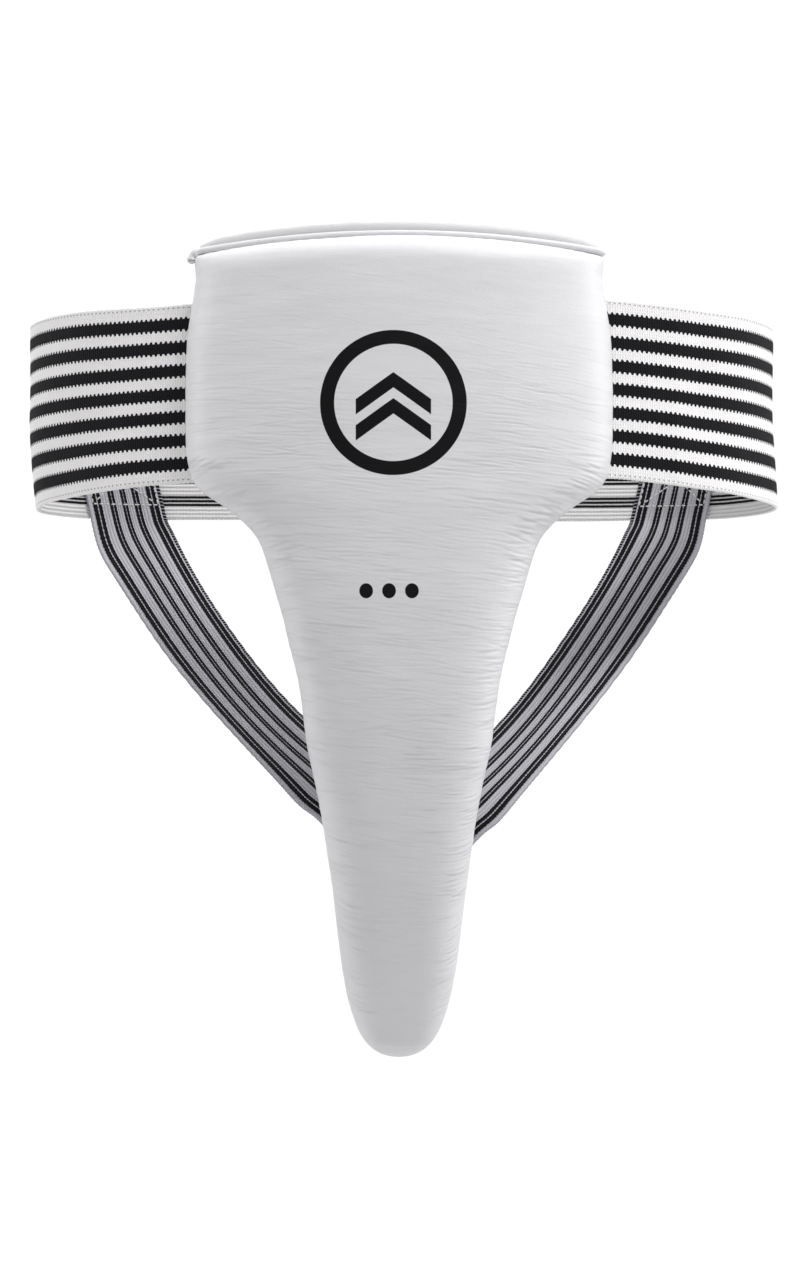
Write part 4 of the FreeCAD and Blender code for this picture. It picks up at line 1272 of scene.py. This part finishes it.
leg_strap(-1, LEFT_REAR, "left", LEFT_LIFT)
leg_strap(1, RIGHT_REAR, "right", 0.0)

# ------------------------------------------------------------------ back closure
LOOP_X, LOOP_HALF = (-68.0, -14.5), 35.5
HOOK_X, HOOK_HALF, HOOK_SEAM_INSET = (-54.0, -19.0), 31.0, 2.5
TAB_END, TAB_HALF, TAB_CORNER = -58.0, 36.0, 9.0


def flat_sheet(name, x_range, half_z, y_range, radius, mat, cell, bumps=0.0):
    """Thin sheet with rounded corners and a softened rim; bumps roughen its +Y face."""
    (x0, x1), (y0, y1) = x_range, y_range
    nx, nz = max(8, int((x1 - x0) / cell)), max(8, int(2 * half_z / cell))
    across, up = np.meshgrid(np.linspace(-1, 1, nx), np.linspace(-1, 1, nz), indexing="ij")
    half_x = (x1 - x0) / 2
    x, z = across * half_x, up * half_z
    # squeeze the corners of the grid onto rounded corners
    flat_x, flat_z = half_x - radius, half_z - radius
    over_x, over_z = np.abs(x) - flat_x, np.abs(z) - flat_z
    corner = (over_x > 0) & (over_z > 0)
    k = np.maximum(over_x, over_z) / np.maximum(np.hypot(over_x, over_z), 1e-9)
    x = np.where(corner, np.sign(x) * (flat_x + over_x * k), x) + (x0 + x1) / 2
    z = np.where(corner, np.sign(z) * (flat_z + over_z * k), z)
    rim = np.minimum((1 - np.abs(across)) * half_x, (1 - np.abs(up)) * half_z)
    t = y1 - y0
    soft = 0.25 + 0.75 * round_off(rim, 0.5 * t + 0.01)
    mid = (y0 + y1) / 2
    rough = bumps * np.random.default_rng(11).standard_normal(x.shape)
    top = np.stack([x, mid + (t / 2 + rough) * soft, z], -1)
    bottom = np.stack([x, mid - t / 2 * soft, z], -1)
    uv = np.stack([x, z], -1)
    return shell(name, top, bottom, uv, uv, [mat])


def pile_loops():
    """Loose loops of pile standing on the loop panel: bent three-sided strands."""
    r = np.random.default_rng(77)
    n = 4200
    xs, zs = r.uniform(-67.2, -15.2, n), r.uniform(-34.8, 34.8, n)
    y = LEFT_BACK + 0.95
    verts, faces = [], []
    for x, z in zip(xs, zs):
        a = r.uniform(0, 2 * math.pi)
        dx, dz = math.cos(a), math.sin(a)
        height, length = r.uniform(0.22, 0.40), r.uniform(0.3, 0.55)
        base = len(verts)
        for f in np.arange(5) / 4:
            cx, cz = x + dx * length * (f - 0.5), z + dz * length * (f - 0.5)
            cy = y + height * math.sin(math.pi * f)
            for q in (-0.05, 0.05):
                verts.append((cx - dz * q, cy, cz + dx * q))
            verts.append((cx, cy + 0.07, cz))
        faces += wall_faces(5, 3, base)
        faces.append((base + 2, base + 1, base))
        faces.append((base + 12, base + 13, base + 14))
    verts = np.array(verts)
    return build("loop_pile_fibres", verts, faces, verts[:, [0, 2]], [M["loop"]])


def closure_stitch(name, x_range, half_z, y, mat, node, body):
    """A stitched rectangle facing +Y."""
    x0, x1 = x_range
    corners = np.array([(x0, -half_z), (x1, -half_z), (x1, half_z), (x0, half_z), (x0, -half_z)])
    share = np.linspace(0, 1, 80)[:, None]
    runs = []
    for a, b in zip(corners[:-1], corners[1:]):
        p = a + (b - a) * share
        points = np.stack([p[:, 0], np.full(80, y), p[:, 1]], -1)
        runs.append((points, np.tile([0.0, 1.0, 0.0], (80, 1))))
    stitches(name, runs, mat, node, body, "thread_black", pitch=2.8, length=2.2)


def closure_tab():
    """One strip of webbing, its end sewn inside the right half, its flap free."""
    xs = np.concatenate([np.linspace(TAB_END, 8.0, 210),
                         np.linspace(8.5, 20.0, 24)])
    cols = 150
    y0, y1 = RIGHT_FRONT - 1.45, RIGHT_FRONT - 0.25
    mid, r = (y0 + y1) / 2, (y1 - y0) / 2
    round_from = TAB_END + TAB_CORNER
    rows, uvs = [], []
    for x in xs:
        inset = 0.0
        if x < round_from:
            inset = TAB_CORNER - math.sqrt(max(0.0, TAB_CORNER ** 2 - (round_from - x) ** 2))
        half = TAB_HALF - inset * 0.97
        z = np.linspace(-1, 1, cols) * half
        edge = round_off(half - np.abs(z), r, floor=0.04)
        end = min(1.0, max(0.06, (x - TAB_END) / 0.6)) ** 0.5
        warp = 0.07 * np.sin(z * 2 * math.pi / 1.5) * math.cos(x * 2 * math.pi / 1.5)
        h = r * edge * end + (warp - 0.07) * edge
        back = np.stack([np.full(cols, x), mid + h, z], -1)
        front = np.stack([np.full(cols, x), mid - h, z], -1)
        rows.append(np.concatenate([back, front[::-1]]))
        uvs.append(np.stack([np.full(2 * cols, x), np.concatenate([z, z[::-1]])], -1))
    ob = build("closure_webbing", np.concatenate(rows), ribbon_faces(len(xs), 2 * cols),
               np.concatenate(uvs), [M["tab"]])
    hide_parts("closure_tab", "closure_tab_sewn_end")
    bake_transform(ob)


# x, y along one bent hook from its foot
HOOK_PROFILE = [(0, 0), (0.02, -0.22), (0.10, -0.38), (0.25, -0.44), (0.36, -0.36),
                (0.38, -0.28)]


def hooks():
    verts, faces = [], []
    step = 1.5
    y = LEFT_BACK + 2.02
    for x in np.arange(-52.5, -20.0, step):
        for z in np.arange(-29.5, 29.6, step):
            if abs(z) > 26 and (x < -49 or x > -24):
                continue
            base = len(verts)
            for k, (dx, dy) in enumerate(HOOK_PROFILE):
                w = 0.17 - 0.02 * k
                for dz, deep in ((-w, 0.07), (w, 0.07), (w, -0.07), (-w, -0.07)):
                    verts.append((x + dx + deep, y + dy, z + dz))
            faces += wall_faces(len(HOOK_PROFILE), 4, base)
            faces.append((base + 3, base + 2, base + 1, base))
            end = len(verts) - 4
            faces.append((end, end + 1, end + 2, end + 3))
    verts = np.array(verts)
    return build("hook_teeth", verts, faces, verts[:, [0, 2]], [M["hook"]], smooth=False)


register(flat_sheet("loop_panel", LOOP_X, LOOP_HALF, (LEFT_BACK + 0.25, LEFT_BACK + 1.05),
                    radius=3.0, mat=M["loop"], cell=0.45, bumps=0.05),
         "loop_pile", "left_belt", "loop_patch")
register(pile_loops(), "loop_pile", "left_belt")
closure_stitch("loop_panel_stitch", (-66.2, -16.2), 33.6, LEFT_BACK + 1.05, M["thread_white"],
               "loop_patch_thread", "left_belt")
closure_tab()
register(flat_sheet("hook_panel", HOOK_X, HOOK_HALF, (LEFT_BACK + 2.0, LEFT_BACK + 2.5),
                    radius=6.0, mat=M["tape"], cell=0.6),
         "hook_tape", "closure_flap", "hook_patch")
register(hooks(), "hook_tape", "closure_flap")
closure_stitch("hook_panel_stitch", (HOOK_X[0] + HOOK_SEAM_INSET, HOOK_X[1] - HOOK_SEAM_INSET),
               HOOK_HALF - HOOK_SEAM_INSET, RIGHT_FRONT - 0.35, M["thread_mid"],
               "hook_patch_thread", "closure_flap")
closure_stitch("closure_tab_stitch", (7.0, 14.0), 33, RIGHT_BACK + 1.2, M["thread_white"],
               "closure_tab_thread", "right_belt")

# ------------------------------------------------------------------ leather on the belt's ends
BINDING_T, BINDING_HALF = 0.9, 40.3


def binding(label, profile):
    """Leather strip folded over a belt half's raw end; profile is its bent line, x and y."""
    name = label + "_end_leather"
    line, u = resample(np.array(profile), 0.35)
    t = unit(np.gradient(line, axis=0))
    n = np.stack([-t[:, 1], t[:, 0]], -1)
    zs = np.linspace(-BINDING_HALF, BINDING_HALF, 140)
    r = np.random.default_rng(len(name))
    wobble = np.interp(zs, np.linspace(-41, 41, 30), r.normal(0, 0.06, 30))
    half = BINDING_T / 2
    h = (half * round_off(np.minimum(u, u[-1] - u), half, floor=0.05))[:, None]
    ring = np.concatenate([line + n * h, (line - n * h)[::-1]])
    ring_u = np.concatenate([u, u[::-1]])
    around = len(ring)
    middle = ring.mean(0)
    rows, uvs = [], []
    for z, shift in zip(zs, wobble):
        shrink = 1 - 0.04 * max(0.0, abs(z) - 39.6)
        p = middle + (ring - middle) * shrink
        rows.append(np.stack([p[:, 0] + shift * 0.6, p[:, 1], np.full(around, z)], -1))
        uvs.append(np.stack([ring_u, np.full(around, z)], -1))
    ob = build(name, np.concatenate(rows), ribbon_faces(len(zs), around), np.concatenate(uvs),
               [M["binding"]])
    register(ob, "binding", label + "_belt", label + "_end_binding")


LEFT_FRONT = LEFT_Y - BAND_T / 2
binding("left", [
    (-13.0, LEFT_FRONT - 0.75), (-4.6, LEFT_FRONT - 0.75), (-3.2, LEFT_FRONT - 0.3),
    (-2.85, LEFT_Y), (-3.2, LEFT_BACK + 0.3), (-4.6, LEFT_BACK + 0.75),
    (-13.0, LEFT_BACK + 0.75)])
binding("right", [
    (4.75, RIGHT_FRONT + 0.2), (4.75, RIGHT_Y + 0.3), (5.2, RIGHT_BACK + 0.55),
    (6.4, RIGHT_BACK + 0.78), (16.0, RIGHT_BACK + 0.78)])

# the foam inside stays as the CAD solids, with a cellular finish
for node_name, finish in (("impact_foam", "foam_firm"), ("comfort_foam", "foam_soft")):
    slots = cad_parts[node_name].data.materials
    slots.clear()
    slots.append(M[finish])


# ------------------------------------------------------------------ floor
def floor_material(color):
    m = Mat("floor_pale", rough=0.9, spec=0.1, flat=False)
    mottle = m.ramp(m.noise(m.obj, scale=3.0, detail=2.0), lo=0.3, hi=0.7)
    m.set("Base Color", m.mix(mottle, color, dim(color, 0.99)))
    return m.m


bpy.ops.mesh.primitive_plane_add(size=14, location=(0, 0, -0.56))
floor = bpy.context.object
floor.name = "floor"
floor.data.materials.append(floor_material((0.54, 0.54, 0.545)))

# ------------------------------------------------------------------ world
ROOM, SWEEP = 0.14, 1.20            # light from the camera's side and from behind the guard
SEEN_STRENGTH = 1.05                # what the camera itself sees


def studio_world():
    """A bright sweep behind and beside the guard, a darker room on the camera's side."""
    world = bpy.data.worlds.new("studio")
    bpy.context.scene.world = world
    world.use_nodes = True
    tree = world.node_tree
    background = tree.nodes["Background"]
    background.inputs[0].default_value = (1.0, 1.0, 1.0, 1)

    def ranged(value, lo, hi, start, end, kind="LINEAR"):
        return add_node(tree, "ShaderNodeMapRange", [value, lo, hi, start, end],
                        interpolation_type=kind).outputs[0]

    def calc(op, *values):
        return add_node(tree, "ShaderNodeMath", values, operation=op).outputs[0]
    coords = add_node(tree, "ShaderNodeTexCoord").outputs["Generated"]
    x, y, z = add_node(tree, "ShaderNodeSeparateXYZ", [coords]).outputs
    depth = ranged(y, lo=-0.52, hi=0.35, start=ROOM, end=SWEEP, kind="SMOOTHSTEP")
    height = ranged(z, lo=-1.0, hi=0.8, start=0.26, end=1.36)
    aside = ranged(x, lo=-1.0, hi=1.0, start=0.88, end=1.16)
    behind = ranged(y, lo=0.30, hi=0.95, start=1.0, end=0.62, kind="SMOOTHSTEP")
    sky = calc("MULTIPLY", calc("MULTIPLY", calc("MULTIPLY", depth, height), aside), behind)
    seen = add_node(tree, "ShaderNodeLightPath").outputs["Is Camera Ray"]
    unseen_sky = calc("MULTIPLY", sky, calc("SUBTRACT", 1.0, seen))
    strength = calc("MULTIPLY_ADD", seen, SEEN_STRENGTH, unseen_sky)
    tree.links.new(strength, background.inputs[1])


studio_world()
bpy.context.scene.view_settings.view_transform = "Standard"


# ------------------------------------------------------------------ lights and camera, metres
def aim(ob, target):
    ob.rotation_euler = (Vector(target) - ob.location).to_track_quat("-Z", "Y").to_euler()


def area(name, place, target, size, power, height=None):
    """Square area light, or a rectangle where a height is given."""
    data = bpy.data.lights.new(name, "AREA")
    data.energy, data.size = power, size
    if height:
        data.shape, data.size_y = "RECTANGLE", height
    ob = bpy.data.objects.new(name, data)
    ob.location = place
    aim(ob, target)
    bpy.context.scene.collection.objects.link(ob)


area("key", place=(1.15, -1.7, 2.3), target=(0, -0.05, -0.05), size=0.9, power=56)
area("fill", place=(-1.5, -1.7, 1.9), target=(0, -0.05, -0.02), size=1.2, power=7.5)
area("top", place=(0.0, -0.5, 2.1), target=(0, 0, -0.05), size=1.0, power=13)
area("strip_right", place=(2.3, 0.34, 0.25), target=(0, -0.08, -0.10), size=0.5, power=13.0,
     height=0.9)
area("strip_left", place=(-2.3, 0.34, 0.25), target=(0, -0.08, -0.10), size=0.5, power=10.5,
     height=0.9)
area("back", place=(-0.7, 1.9, 1.1), target=(0, 0, -0.05), size=1.0, power=3)

CAMERA_TARGET = Vector((0.0004, -0.095, -0.1108))
CAMERA_DISTANCE, VIEW_WIDTH, SENSOR_MM = 4.0, 0.5632, 36.0
CAMERA_ELEVATION = math.radians(-5.9)

camera_data = bpy.data.cameras.new("camera")
camera = bpy.data.objects.new("camera", camera_data)
bpy.context.scene.collection.objects.link(camera)
away = Vector((0, -math.cos(CAMERA_ELEVATION), math.sin(CAMERA_ELEVATION)))
camera.location = CAMERA_TARGET + away * CAMERA_DISTANCE
aim(camera, CAMERA_TARGET)
camera_data.lens = SENSOR_MM * CAMERA_DISTANCE / VIEW_WIDTH
camera_data.clip_end = 60
bpy.context.scene.camera = camera
